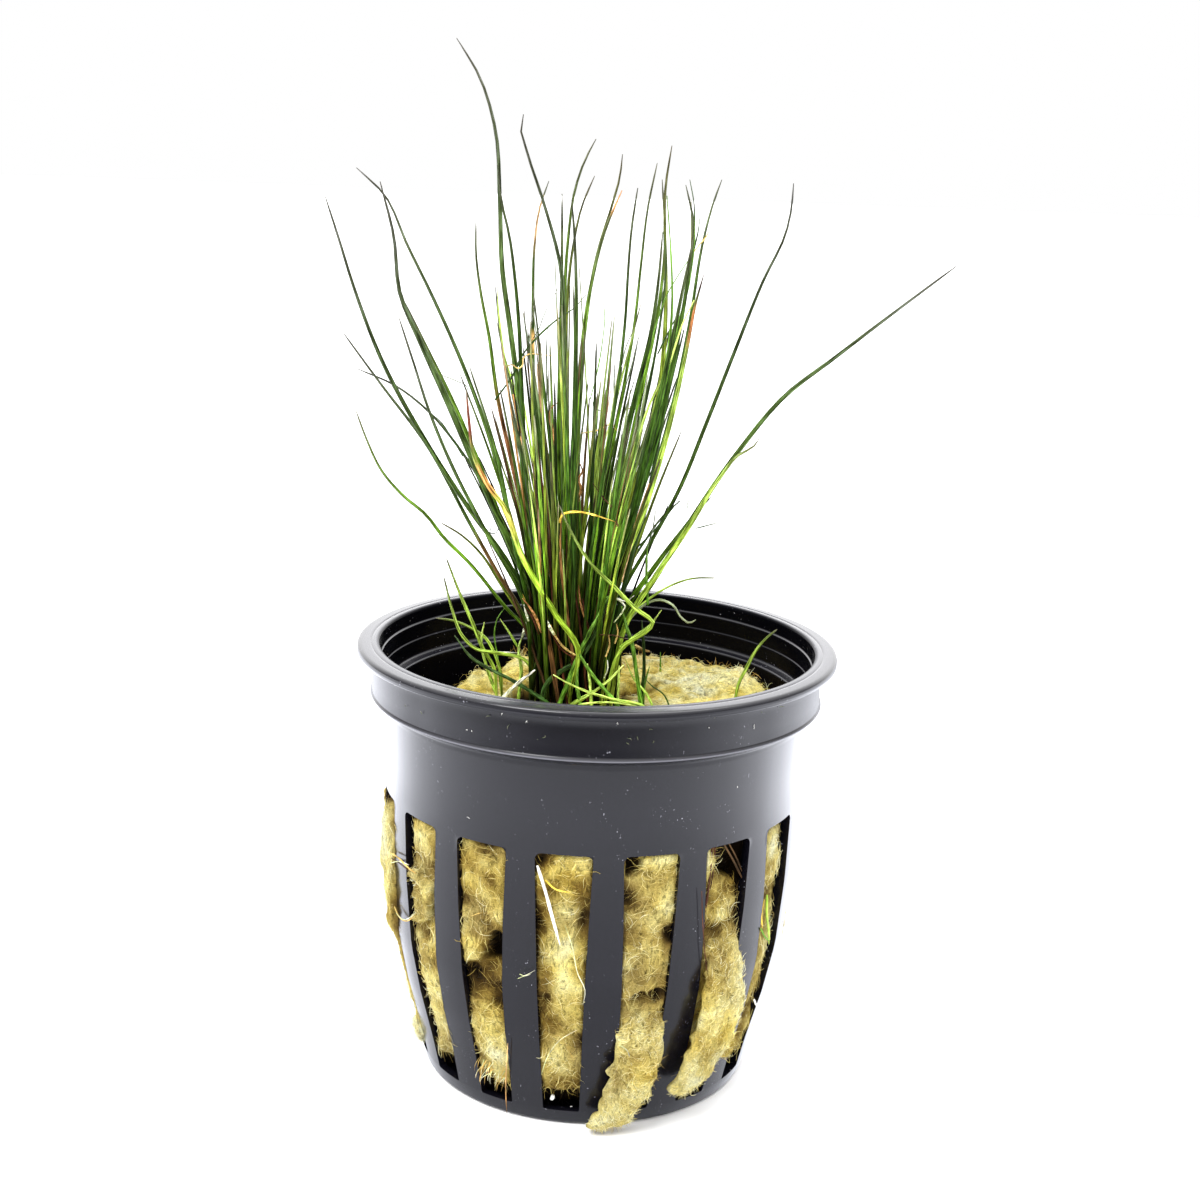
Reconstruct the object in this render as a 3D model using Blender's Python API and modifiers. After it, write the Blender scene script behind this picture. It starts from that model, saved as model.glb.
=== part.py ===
"""Dwarf hairgrass rooted in rock wool, standing in a slotted net pot.

The origin is on the pot's axis, on the surface that the pot stands on. +Z is up and the front
is -Y. Dimensions below are in millimetres and become metres when a mesh is made.
"""
import math

import bmesh
import bpy
import numpy as np

MM = 0.001

# Pot
RIM_RADIUS = 27.5
RIM_HEIGHT = 50.9
RIM_THICKNESS = 1.0
RIM_CHAMFER = 0.35
MOUTH_RADIUS = 24.9
COLLAR_RADIUS = 25.7
COLLAR_FOOT = 44.7
LEDGE_DROP = 0.45
OUTSIDE = ((0.0, 19.2), (6.0, 20.6), (12.0, 22.2), (18.0, 23.4), (26.0, 24.0), (44.2, 24.3))
INSIDE = ((1.1, 18.5), (9.0, 20.5), (18.0, 22.5), (44.2, 23.4))
FLOOR_THICKNESS = INSIDE[0][0]
TURN_STEPS = 48

# Slots in the wall: SLOT_COUNT slots between as many bars
SLOT_COUNT = 16
FRONT_BAR_ANGLE = math.radians(4.8)
SLOT_TOP = 34.0
SLOT_FOOT = 1.9
SLOT_HALF_TOP = 3.13
SLOT_HALF_FOOT = 2.03
SLOT_CORNER = 0.7
SLOT_CUT_RADII = (17.3, 27.0)

# Slots in the floor, round a solid hub
FLOOR_SLOT_COUNT = 8
FLOOR_SLOT_RADII = (7.5, 16.0)
FLOOR_SLOT_HALF = 1.3

# Rock wool
GAP = 0.35
WOOL_FOOT = 1.5
WOOL_FOOT_RADIUS = 16.8
WOOL_TOP = 43.8
WOOL_LEVELS = (4.2, 7.5, 11.5, 16.0, 20.5, 25.0, 28.8, 32.3, 33.6, 40.3)
WOOL_SHOULDERS = ((42.5, 21.0), (43.8, 18.0))
WOOL_INSET = 5.0
WOOL_INSET_ANGLE = math.radians(-100.0)
WOOL_LUMP = 0.35
WOOL_SEED = 11
WOOL_ROOT_GAP = 0.15
WOOL_LIP_GAP = 0.75
WOOL_BULGE = 0.45
WOOL_BULGE_WAVE = 0.3
WOOL_BULGE_LIMIT = 0.9
WOOL_FOOT_SETBACK = 1.2
WOOL_FOOT_CLEAR = 6.0
# Slots where the wool hangs out further or has sunk back: slot, from and to which height, bulge
WOOL_PATCHES = ((11, 16.0, 34.0, 2.0), (12, 16.0, 34.0, 2.0), (14, 20.0, 28.0, -0.9),
                (1, 24.0, 34.0, -0.6))
# Tongues of wool that hang out of two slots: angle, radius, height, half width, half thickness
TONGUES = {
    "tongue_front": ((16.0, 21.6, 14.5, 1.5, 0.5), (16.0, 22.6, 11.5, 1.7, 0.7),
                     (15.0, 22.5, 8.0, 2.5, 0.9), (12.0, 21.8, 4.6, 3.1, 1.0),
                     (8.0, 21.3, 2.0, 3.2, 1.0), (6.0, 20.8, 0.5, 2.6, 0.7)),
    "tongue_right": ((39.0, 22.3, 24.0, 1.4, 0.5), (39.0, 24.3, 21.0, 1.9, 0.8),
                     (38.6, 24.5, 16.0, 2.5, 0.9), (37.0, 23.4, 11.0, 2.7, 0.9),
                     (34.0, 22.4, 7.0, 2.4, 0.9), (30.5, 21.6, 4.6, 1.7, 0.6)),
}
TONGUE_SIDES = 8
WELL_CENTRE = (-3.1, 0.0)
WELL_RADIUS = 6.9
WELL_FLOOR = 41.4
WELL_CUT = 10.0

# Plant
STAND = WELL_FLOOR + 0.3
TUFT_RADII = (5.6, 6.1)
LEAF_POINTS = 5
FOOT_THICKNESS = 0.72
TIP_RADIUS = 0.09
CLEARANCE = 0.3
FOOT_CLEARANCE = 0.36
CROWN_RADIUS = 0.78
CROWN_HEIGHT = 3.2
LEAF_OFFSET = 0.42
LEAF_RADIUS = 0.28
SPREAD_ROUNDS = 600
APART_ROUNDS = 90
UNEASED_ROUNDS = 25
LEAF_SHADES = ((0.10, 0.21, 0.035), (0.07, 0.15, 0.03), (0.16, 0.27, 0.05))
YOUNG_SHADE = (0.30, 0.42, 0.05)
YOUNG_NAMES = ("blade_front", "blade_low", "shoot")
LEAF_ROUGHNESS = 0.5

# The blades below are drawn in a front elevation, x and z in the plane y = 0, as they line up
# from this station in front of the pot. A blade that leans forward or back keeps that line.
STATION = np.array((0.1, -200.6, 105.3))

# Each blade: name, depth of its tip (- is to the front), greatest radius, points from the foot up
BLADES = (
    ("blade_left_01", -4, 0.36, ((-6.8, 52), (-10, 59), (-15, 65.8), (-20, 73.3), (-25, 82.2),
                                 (-28.1, 90), (-30, 95.9), (-31.3, 99.8))),
    ("blade_left_02", 7, 0.30, ((-8.2, 52.5), (-12, 59), (-15, 64.2), (-20, 73), (-25, 79.4),
                                (-27.9, 83.2), (-29.4, 85.2))),
    ("blade_left_03", 11, 0.24, ((-7, 53), (-10, 60.5), (-13.5, 68.3), (-16.5, 72.8), (-20, 76.8),
                                 (-23.5, 79.4), (-27.9, 81.2))),
    ("blade_left_04", 2, 0.28, ((-7.2, 50.5), (-10.8, 54.6), (-15, 59.6), (-18, 62.5), (-20, 65),
                                (-22.5, 67), (-25, 69.8), (-26.8, 73.5), (-28, 76.7))),
    ("blade_left_05", -11, 0.46, ((-6.5, 52), (-10.5, 61), (-14.3, 69.8), (-17.7, 77.5),
                                  (-21, 84.5), (-23.2, 89.5), (-24, 96), (-25.5, 101.6))),
    ("blade_left_06", 12, 0.32, ((-7.6, 53), (-10.8, 66.5), (-12.5, 73), (-15, 79.8),
                                 (-19.7, 90), (-22.3, 95), (-24.8, 100.2), (-27.9, 103))),
    ("blade_left_07", -16, 0.28, ((-8.6, 55), (-13, 63), (-17, 70.5), (-20, 77.5), (-21.5, 82),
                                  (-23.2, 87))),
    ("blade_left_08", -8, 0.24, ((-8, 52), (-11.5, 57.5), (-13.5, 60.5), (-16, 62.8),
                                 (-18.3, 64.1))),
    ("blade_left_09", -6, 0.38, ((-6, 53), (-9.8, 61), (-13.5, 70), (-17, 78), (-20.3, 84.5),
                                 (-22.6, 89))),
    ("blade_front_01", -10, 0.42, ((-1.8, 49.5), (-5, 54.2), (-8.8, 60.5), (-10.9, 66),
                                   (-13, 68.8), (-14.5, 71.8), (-15.1, 75.5), (-15.5, 79.3))),
    ("blade_front_02", -9, 0.30, ((3.2, 50.5), (5.6, 52.3), (6.3, 53.1), (4, 55.2), (1.7, 57.5),
                                  (-0.6, 59.6), (-2.6, 62.4), (-4, 65), (-4.8, 66.8))),
    ("blade_mid_01", 3, 0.42, ((-6.2, 55), (-8.8, 68), (-9.6, 78), (-10.8, 86), (-11.9, 93),
                               (-12.3, 100), (-13, 107.7), (-14.8, 113), (-17.3, 116.8))),
    ("blade_mid_02", -6, 0.34, ((-5.5, 56), (-8.3, 68), (-9.4, 80), (-9.8, 86), (-10.4, 91.5),
                                (-11.2, 96.5), (-12.1, 100), (-12.6, 103.8))),
    ("blade_mid_03", 9, 0.34, ((-7.2, 58), (-10.3, 71), (-12.2, 79), (-13.2, 85.3),
                               (-14.3, 90.5), (-14.8, 94), (-14.9, 98))),
    ("blade_mid_04", 16, 0.24, ((-7, 60), (-10, 75), (-11.2, 81), (-12, 86), (-12.6, 90.8))),
    ("blade_mid_05", -12, 0.34, ((-4.3, 58), (-4.8, 75), (-5.1, 86), (-5.6, 92.8), (-7.7, 100),
                                 (-9.7, 105.5), (-10.35, 107.8), (-10.1, 109.2))),
    ("blade_mid_06", 18, 0.32, ((-6, 58), (-7.6, 70), (-8.3, 82), (-8.5, 90), (-8.5, 95),
                                (-8, 99.5), (-7.1, 102.3))),
    ("blade_mid_07", 5, 0.32, ((-4, 60), (-4.6, 75), (-5, 88), (-4.8, 96), (-4.2, 101.5),
                               (-3.2, 104.7), (-2.1, 106.9))),
    ("blade_mid_08", 22, 0.32, ((-3.5, 60), (-4.6, 78), (-4.9, 88), (-4.4, 95.5), (-3.5, 100),
                                (-2.3, 103))),
    ("blade_mid_09", -18, 0.38, ((-3, 58), (-3.4, 70), (-3.5, 82), (-3.7, 91), (-4.1, 97),
                                 (-4.5, 100.5))),
    ("blade_mid_10", -2, 0.38, ((-4.2, 58), (-5.1, 72), (-5.3, 85), (-5.4, 94), (-5.6, 101))),
    ("blade_mid_11", 12, 0.34, ((-2.5, 58), (-3, 72), (-2.7, 86), (-1.5, 95), (0, 100.5),
                                (0.6, 103), (0.8, 105.4))),
    ("blade_mid_12", -8, 0.40, ((-2.2, 57), (-3, 72), (-2.9, 84), (-2, 92), (-0.7, 97.5),
                                (0.9, 101.6))),
    ("blade_mid_13", -22, 0.24, ((-1.2, 60), (0, 70.5), (1.2, 80), (1.8, 88), (1.9, 93),
                                 (2.1, 97.5), (2.6, 101.9))),
    ("blade_mid_14", 15, 0.26, ((-0.8, 60), (0.7, 72), (2, 81), (2.8, 87), (3.3, 94),
                                (3.8, 100), (4.6, 104.6))),
    ("blade_right_01", 6, 0.40, ((0.5, 58), (3.5, 69), (5.5, 77), (6.2, 85), (6.1, 92),
                                 (5.7, 98), (5.6, 102), (6.1, 106.5))),
    ("blade_right_02", -6, 0.44, ((-0.5, 57), (1.3, 68), (3.2, 79), (4.7, 86.5), (5.3, 92.5),
                                  (5.5, 97.4))),
    ("blade_right_03", 17, 0.36, ((0.2, 58), (2.3, 70), (4.2, 81), (5.6, 90), (5.9, 96),
                                  (5.3, 102.9))),
    ("blade_right_04", -2, 0.42, ((1.2, 57), (4, 67), (6.2, 76.5), (7.6, 85), (8.6, 93.5),
                                  (8.8, 98.5), (7.8, 102.4))),
    ("blade_right_05", 13, 0.34, ((1, 58), (4.6, 70), (7, 80), (8.5, 89.5), (9, 96),
                                  (8.7, 100.8))),
    ("blade_right_06", 23, 0.34, ((1.6, 58), (5, 68), (7.6, 79), (9, 88), (10, 96.5),
                                  (10.9, 100.6), (11.7, 103.1))),
    ("blade_right_07", -14, 0.40, ((1.5, 56), (5, 67), (7.3, 76.5), (8.8, 85), (9.5, 89.8),
                                   (10.2, 92.8))),
    ("blade_right_08", -10, 0.48, ((0.8, 56), (3.4, 65), (5, 74), (6.5, 82), (7.8, 90),
                                   (8.9, 96.8))),
    ("blade_right_09", 9, 0.32, ((2.4, 56.5), (5.5, 62.8), (8.5, 69), (11, 76), (14, 84.8),
                                 (16.7, 92.5), (18.9, 97.8), (19.3, 100), (19.4, 103))),
    ("blade_right_10", -2, 0.36, ((2.6, 52.5), (5.5, 57), (10, 65.3), (15, 73.4), (20, 80),
                                  (25, 84.2), (30, 88.4), (34, 91.7), (37.8, 94.8))),
    ("blade_right_11", -7, 0.42, ((3.2, 53), (6.5, 59), (9.8, 64.5), (13, 70.2), (15, 73),
                                  (16.8, 74.2), (17.3, 75))),
    ("blade_right_12", 4, 0.42, ((3, 54.5), (6, 59.5), (9, 64), (11, 66.8), (12.3, 68.2))),
    ("blade_right_13", 14, 0.22, ((2, 57), (5, 63), (7, 66), (8.8, 67.7))),
    ("blade_low_01", 9, 0.20, ((2.5, 52.5), (5.5, 55.8), (8, 57.6), (10.5, 58.6), (13.5, 58.8))),
    ("blade_low_02", 2, 0.22, ((3.6, 53.6), (5.3, 55.4), (7, 56), (8.5, 55.4), (9.5, 54),
                               (10.5, 53.4), (11.2, 53.8))),
    ("shoot_left_02", -3, 0.26, ((-8.2, 48.2), (-11.5, 49), (-13.9, 49.4), (-15.6, 51),
                                 (-16.7, 53.8), (-17.8, 57.9))),
)

# Each sheaf: the middle of its fan at the top, x, z and depth
SHEAVES = ((-13, 82, -13), (-10.5, 87, 5), (-9, 79, -19), (-7.5, 88, 14), (-6.5, 83, -7),
           (-3.5, 89, -14), (-1.5, 84, 19), (0.5, 85, -12), (2.5, 88, 8), (4.5, 80, -17),
           (7.0, 84, 15))
LEAF_FAN = ((-1.9, 1.0, -1.4), (-0.6, 0.88, 1.8), (0.8, 0.94, -1.0), (2.1, 0.8, 1.2))

# Shoots that stand in small pits of their own: name, foot (x, y), radius, drawn points, tip depth
SHOOTS = (
    ("shoot_left_01", (-11.4, -0.7), 0.28, ((-11.9, 47.2), (-13.2, 49.4), (-14.4, 52.3),
                                            (-15.9, 55.7), (-17.6, 60)), -2),
    ("shoot_left_03", (-10.9, 0.9), 0.24, ((-11.1, 46.6), (-11.8, 48.8), (-12.9, 50.7),
                                           (-14.5, 51.8), (-16.5, 52.6), (-18.7, 52.9)), 4),
    ("shoot_right_01", (16.2, 0.6), 0.26, ((16.5, 46.2), (17.3, 48.2), (18.3, 50.4),
                                           (19.4, 51.9), (20.6, 53)), 3),
)
PITS = (("pit_left", -11.2, 0.1, 2.2), ("pit_right", 16.2, 0.6, 0.9))
PIT_FLOOR = 42.0


def clear_scene():
    """Remove every object, so that the file holds only the plant and its pot."""
    for obj in list(bpy.data.objects):
        bpy.data.objects.remove(obj, do_unlink=True)


def new_collection(name):
    made = bpy.data.collections.new(name)
    bpy.context.scene.collection.children.link(made)
    return made


def make_material(name, colour, roughness):
    """A Principled material of one colour."""
    made = bpy.data.materials.new(name)
    made.use_nodes = True
    shader = made.node_tree.nodes["Principled BSDF"]
    shader.inputs["Base Color"].default_value = (*colour, 1.0)
    shader.inputs["Roughness"].default_value = roughness
    shader.inputs["Metallic"].default_value = 0.0
    made.diffuse_color = (*colour, 1.0)
    return made


def leaf_material(name, number):
    """A leaf's own green: full grown leaves go through the shades, young ones are lighter."""
    young = name.startswith(YOUNG_NAMES)
    colour = YOUNG_SHADE if young else LEAF_SHADES[number % len(LEAF_SHADES)]
    return make_material(name, colour, LEAF_ROUGHNESS)


def add_mesh(name, bm, collection, material=None):
    """Turn a bmesh in millimetres into an object in metres."""
    bmesh.ops.recalc_face_normals(bm, faces=bm.faces)
    bmesh.ops.scale(bm, vec=(MM, MM, MM), verts=bm.verts)
    mesh = bpy.data.meshes.new(name)
    bm.to_mesh(mesh)
    bm.free()
    obj = bpy.data.objects.new(name, mesh)
    collection.objects.link(obj)
    if material:
        mesh.materials.append(material)
    return obj


def as_helper(obj):
    """Mark a cutter or a piece that is joined to another, so that it is not a part itself."""
    obj.hide_render = True
    obj.display_type = "WIRE"
    return obj


def add_boolean(obj, helper, operation):
    modifier = obj.modifiers.new(helper.name, "BOOLEAN")
    modifier.object = helper
    modifier.operation = operation
    modifier.solver = "EXACT"


def wall_radius(side, z):
    """Radius of the wall's outside or inside below the collar, at a height."""
    heights, radii = zip(*side)
    return float(np.interp(z, heights, radii))


def slot_half_width(z):
    share = (z - SLOT_FOOT) / (SLOT_TOP - SLOT_FOOT)
    return SLOT_HALF_FOOT + (SLOT_HALF_TOP - SLOT_HALF_FOOT) * share


def slot_angle(index):
    """Angle of a slot's middle round the axis, from the front towards +X."""
    return FRONT_BAR_ANGLE + (index + 0.5) * 2 * math.pi / SLOT_COUNT


def polar(angle, radius, z):
    return (radius * math.sin(angle), -radius * math.cos(angle), z)


def pot_profile():
    """Half section from the floor's middle, up inside, over the rim and down outside."""
    rim_foot = RIM_HEIGHT - RIM_THICKNESS
    points = [(0.0, FLOOR_THICKNESS)]
    points += [(radius, z) for z, radius in INSIDE]
    points += [(MOUTH_RADIUS - 0.2, COLLAR_FOOT + LEDGE_DROP), (MOUTH_RADIUS, RIM_HEIGHT)]
    points += [(RIM_RADIUS - RIM_CHAMFER, RIM_HEIGHT), (RIM_RADIUS, RIM_HEIGHT - RIM_CHAMFER)]
    points += [(RIM_RADIUS, rim_foot), (COLLAR_RADIUS + 0.15, rim_foot)]
    points += [(COLLAR_RADIUS, COLLAR_FOOT + LEDGE_DROP), (COLLAR_RADIUS - 0.1, COLLAR_FOOT)]
    points += [(radius, z) for z, radius in reversed(OUTSIDE)]
    return points + [(0.0, 0.0)]


def slot_cutters(collection):
    """One tapered block with rounded upper corners for each slot of the wall."""
    bm = bmesh.new()
    near, far = SLOT_CUT_RADII
    for index in range(SLOT_COUNT):
        block = bmesh.ops.create_cube(bm, size=1.0)["verts"]
        upper_edges = set()
        for vert in block:
            z = SLOT_TOP if vert.co.z > 0 else SLOT_FOOT
            side = math.copysign(slot_half_width(z), vert.co.x)
            vert.co = (side, -(far if vert.co.y > 0 else near), z)
        for vert in block:
            for edge in vert.link_edges:
                first, second = edge.verts
                across = abs(first.co.y - second.co.y) > 1.0
                if across and first.co.z == SLOT_TOP and second.co.z == SLOT_TOP:
                    upper_edges.add(edge)
        made = bmesh.ops.bevel(bm, geom=list(upper_edges), offset=SLOT_CORNER, segments=1,
                               profile=0.5, affect="EDGES")
        turned = set(block) | set(made["verts"])
        turned = [vert for vert in turned if vert.is_valid]
        rotate(bm, turned, slot_angle(index))
    return as_helper(add_mesh("slot_cutters", bm, collection))


def rotate(bm, verts, angle):
    """Turn vertices round the axis, from the front towards +X."""
    cosine, sine = math.cos(angle), math.sin(angle)
    for vert in verts:
        x, y, z = vert.co
        vert.co = (x * cosine - y * sine, x * sine + y * cosine, z)


def floor_cutters(collection):
    """Radial slots that leave the floor's hub, spokes and edge standing."""
    bm = bmesh.new()
    near, far = FLOOR_SLOT_RADII
    for index in range(FLOOR_SLOT_COUNT):
        block = bmesh.ops.create_cube(bm, size=1.0)["verts"]
        for vert in block:
            x = math.copysign(FLOOR_SLOT_HALF, vert.co.x)
            y = -(far if vert.co.y > 0 else near)
            z = FLOOR_THICKNESS / 2 + math.copysign(FLOOR_THICKNESS, vert.co.z)
            vert.co = (x, y, z)
        rotate(bm, block, slot_angle(2 * index))
    return as_helper(add_mesh("floor_cutters", bm, collection))


def make_pot(parts, helpers):
    bm = bmesh.new()
    ring = [bm.verts.new((radius, 0.0, z)) for radius, z in pot_profile()]
    for first, second in zip(ring, ring[1:]):
        bm.edges.new((first, second))
    bmesh.ops.scale(bm, vec=(MM, MM, MM), verts=bm.verts)
    mesh = bpy.data.meshes.new("pot")
    bm.to_mesh(mesh)
    bm.free()
    mesh.materials.append(make_material("pot_plastic", (0.035, 0.036, 0.042), 0.38))
    pot = bpy.data.objects.new("pot", mesh)
    parts.objects.link(pot)
    screw = pot.modifiers.new("turned", "SCREW")
    screw.steps = TURN_STEPS
    screw.render_steps = TURN_STEPS
    screw.use_merge_vertices = True
    screw.merge_threshold = 0.00001
    add_boolean(pot, slot_cutters(helpers), "DIFFERENCE")
    add_boolean(pot, floor_cutters(helpers), "DIFFERENCE")
    return pot


def wool_bulge(rng, index, z):
    """How far the wool stands out past the inside of the wall, in the slot at a height."""
    ripple = rng.uniform(-0.15, 0.2)
    if z < WOOL_FOOT_CLEAR:
        return -WOOL_FOOT_SETBACK
    if z > SLOT_TOP - 1:
        return -GAP - 0.3 + ripple
    for slot, low, high, bulge in WOOL_PATCHES:
        if index == slot and low <= z < high:
            return bulge + ripple
    wave = WOOL_BULGE_WAVE * math.sin(1.7 * index + 0.23 * z)
    return min(WOOL_BULGE + wave + ripple, WOOL_BULGE_LIMIT)


def make_wool(parts, helpers):
    """The block of rock wool: a ring of columns that follow the slots, closed above and below."""
    rng = np.random.default_rng(WOOL_SEED)
    bm = bmesh.new()
    rings = []
    for z in WOOL_LEVELS:
        inside = wall_radius(INSIDE, z)
        half = slot_half_width(min(z, SLOT_TOP))
        root, lip = (half - WOOL_ROOT_GAP) / inside, (half - WOOL_LIP_GAP) / inside
        ring = []
        for index in range(SLOT_COUNT):
            for offset, proud in ((-root, False), (-lip, True), (lip, True), (root, False)):
                angle = slot_angle(index) + offset
                out = wool_bulge(rng, index, z) if proud else -GAP
                radius = inside + out - wool_inset(angle, z)
                ring.append(bm.verts.new(polar(angle, radius, z)))
        rings.append(ring)
    for z, radius in WOOL_SHOULDERS:
        rings.append(wool_ring(bm, rng, radius, z))
    rings.insert(0, wool_ring(bm, rng, WOOL_FOOT_RADIUS, WOOL_FOOT))
    for lower, upper in zip(rings, rings[1:]):
        for here in range(len(lower)):
            there = (here + 1) % len(lower)
            bm.faces.new((lower[here], lower[there], upper[there], upper[here]))
    for ring, z in ((rings[0], WOOL_FOOT), (rings[-1], WOOL_TOP)):
        middle = bm.verts.new((0.0, 0.0, z))
        for here in range(len(ring)):
            bm.faces.new((ring[here], ring[(here + 1) % len(ring)], middle))
    wool = add_mesh("rock_wool", bm, parts, make_material("rock_wool", (0.62, 0.47, 0.16), 0.95))
    for tongue in wool_tongues(helpers):
        add_boolean(wool, tongue, "UNION")
    for cutter in well_cutters(helpers):
        add_boolean(wool, cutter, "DIFFERENCE")
    return wool


def wool_inset(angle, z):
    """How far the wool draws back from the wall above the slots: most on its left side."""
    side = max(0.0, math.cos(angle - WOOL_INSET_ANGLE)) ** 0.7
    rise = max(0.0, z - SLOT_TOP) / (WOOL_TOP - SLOT_TOP)
    return WOOL_INSET * side * rise


def wool_ring(bm, rng, radius, z):
    """A ring with as many points as the columns, for the foot, the shoulder and the top."""
    ring = []
    for index in range(SLOT_COUNT):
        for share in (-0.36, -0.12, 0.12, 0.36):
            angle = slot_angle(index) + share * 2 * math.pi / SLOT_COUNT
            out = rng.uniform(-WOOL_LUMP, WOOL_LUMP) - wool_inset(angle, z)
            up = rng.uniform(-WOOL_LUMP, WOOL_LUMP) if z > SLOT_TOP else 0.0
            ring.append(bm.verts.new(polar(angle, radius + out, z + up)))
    return ring


def wool_tongues(helpers):
    """Loft each tongue through flat oval sections that follow the outside of the pot."""
    made = []
    for name, stations in TONGUES.items():
        bm = bmesh.new()
        rings = []
        for degrees, radius, z, half_width, half_thickness in stations:
            ring = []
            for side in range(TONGUE_SIDES):
                turn = 2 * math.pi * (side + 0.5) / TONGUE_SIDES
                along = half_width * math.cos(turn) / radius
                out = half_thickness * math.sin(turn)
                place = polar(math.radians(degrees) + along, radius + out, z)
                ring.append(bm.verts.new(place))
            rings.append(ring)
        for upper, lower in zip(rings, rings[1:]):
            for here in range(TONGUE_SIDES):
                there = (here + 1) % TONGUE_SIDES
                bm.faces.new((upper[here], upper[there], lower[there], lower[here]))
        bm.faces.new(rings[0])
        bm.faces.new(rings[-1])
        made.append(as_helper(add_mesh(name, bm, helpers)))
    return made


def well_cutters(helpers):
    """The well that the tuft stands in, and a small pit for each group of shoots."""
    pits = [("well", *WELL_CENTRE, WELL_RADIUS, WELL_FLOOR, 14)]
    pits += [(name, x, y, radius, PIT_FLOOR, 8) for name, x, y, radius in PITS]
    cutters = []
    for name, x, y, radius, floor, sides in pits:
        bm = bmesh.new()
        made = bmesh.ops.create_cone(bm, cap_ends=True, segments=sides, radius1=radius,
                                     radius2=radius, depth=WELL_CUT)
        bmesh.ops.translate(bm, vec=(x, y, floor + WELL_CUT / 2), verts=made["verts"])
        cutters.append(as_helper(add_mesh(name, bm, helpers)))
    return cutters


def place_in_depth(x, z, depth):
    """Move a drawn point along the line of sight from the station, to a depth behind y = 0."""
    drawn = np.array((x, 0.0, z))
    reach = (depth - STATION[1]) / -STATION[1]
    return STATION + (drawn - STATION) * reach


def smooth_path(points, count):
    """Read a smooth curve through the points at equal steps along its length."""
    points = np.asarray(points, dtype=float)
    ends = np.vstack((2 * points[0] - points[1], points, 2 * points[-1] - points[-2]))
    fine = []
    for index in range(1, len(ends) - 2):
        before, start, stop, after = ends[index - 1:index + 3]
        for share in np.linspace(0.0, 1.0, 12, endpoint=False):
            fine.append(0.5 * (2 * start + (stop - before) * share
                               + (2 * before - 5 * start + 4 * stop - after) * share ** 2
                               + (3 * start - before - 3 * stop + after) * share ** 3))
    fine.append(points[-1])
    fine = np.array(fine)
    run = np.concatenate(([0.0], np.cumsum(np.linalg.norm(np.diff(fine, axis=0), axis=1))))
    steps = np.linspace(0.0, run[-1], count)
    return np.stack([np.interp(steps, run, fine[:, axis]) for axis in range(3)], axis=1)


def taper(share, radius):
    """Radii at shares of the length: slim foot, fullest at a quarter of the way, fine tip."""
    return np.interp(share, (0.0, 0.25, 0.6, 1.0),
                     (radius * FOOT_THICKNESS, radius, radius * 0.85, TIP_RADIUS))


def spread_feet(wanted, sizes):
    """Push the feet of the tuft apart until each has its own room inside the well."""
    feet = np.array(wanted, dtype=float)
    sizes = np.array(sizes)
    limits = np.array(TUFT_RADII)
    need = sizes[:, None] + sizes[None, :] + FOOT_CLEARANCE
    for _ in range(SPREAD_ROUNDS):
        apart = feet[:, None] - feet[None, :]
        distance = np.linalg.norm(apart, axis=2) + np.eye(len(feet)) * 99
        short = np.clip(need - distance, 0.0, None)
        feet += 0.4 * (apart / distance[..., None] * short[..., None]).sum(axis=1)
        reach = np.linalg.norm(feet / (limits - sizes[:, None]), axis=1)
        feet /= np.clip(reach, 1.0, None)[:, None]
    return feet + np.array(WELL_CENTRE)


def blade_route(foot, stand, drawn, depth):
    """From the foot up through the drawn points, going smoothly to the depth of the tip."""
    tip_height = max(z for _, z in drawn)
    route = [np.array((*foot, stand))]
    run = [0.0]
    for before, point in zip(((foot[0], stand), *drawn), drawn):
        run.append(run[-1] + math.dist(before, point))
    for length, (x, z) in zip(run[1:], drawn):
        share = (length / run[-1]) ** 1.15
        route.append(place_in_depth(x, z, foot[1] + (depth - foot[1]) * share))
    lift = min(4.0, 0.12 * (tip_height - stand))
    lean = route[1] - route[0]
    route.insert(1, route[0] + np.array((lean[0] * 0.2, lean[1] * 0.2, lift)))
    return route


def closest_between(start_a, end_a, start_b, end_b):
    """Shares along two sets of segments at which each pair comes closest."""
    run_a, run_b, between = end_a - start_a, end_b - start_b, start_a - start_b
    aa = (run_a * run_a).sum(1)
    bb = (run_b * run_b).sum(1)
    ab = (run_a * run_b).sum(1)
    ad = (run_a * between).sum(1)
    bd = (run_b * between).sum(1)
    spread = np.maximum(aa * bb - ab * ab, 1e-9)
    share_a = np.clip((ab * bd - bb * ad) / spread, 0.0, 1.0)
    share_b = np.clip((ab * share_a + bd) / bb, 0.0, 1.0)
    share_a = np.clip((ab * share_b - ad) / aa, 0.0, 1.0)
    return share_a, share_b


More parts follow.
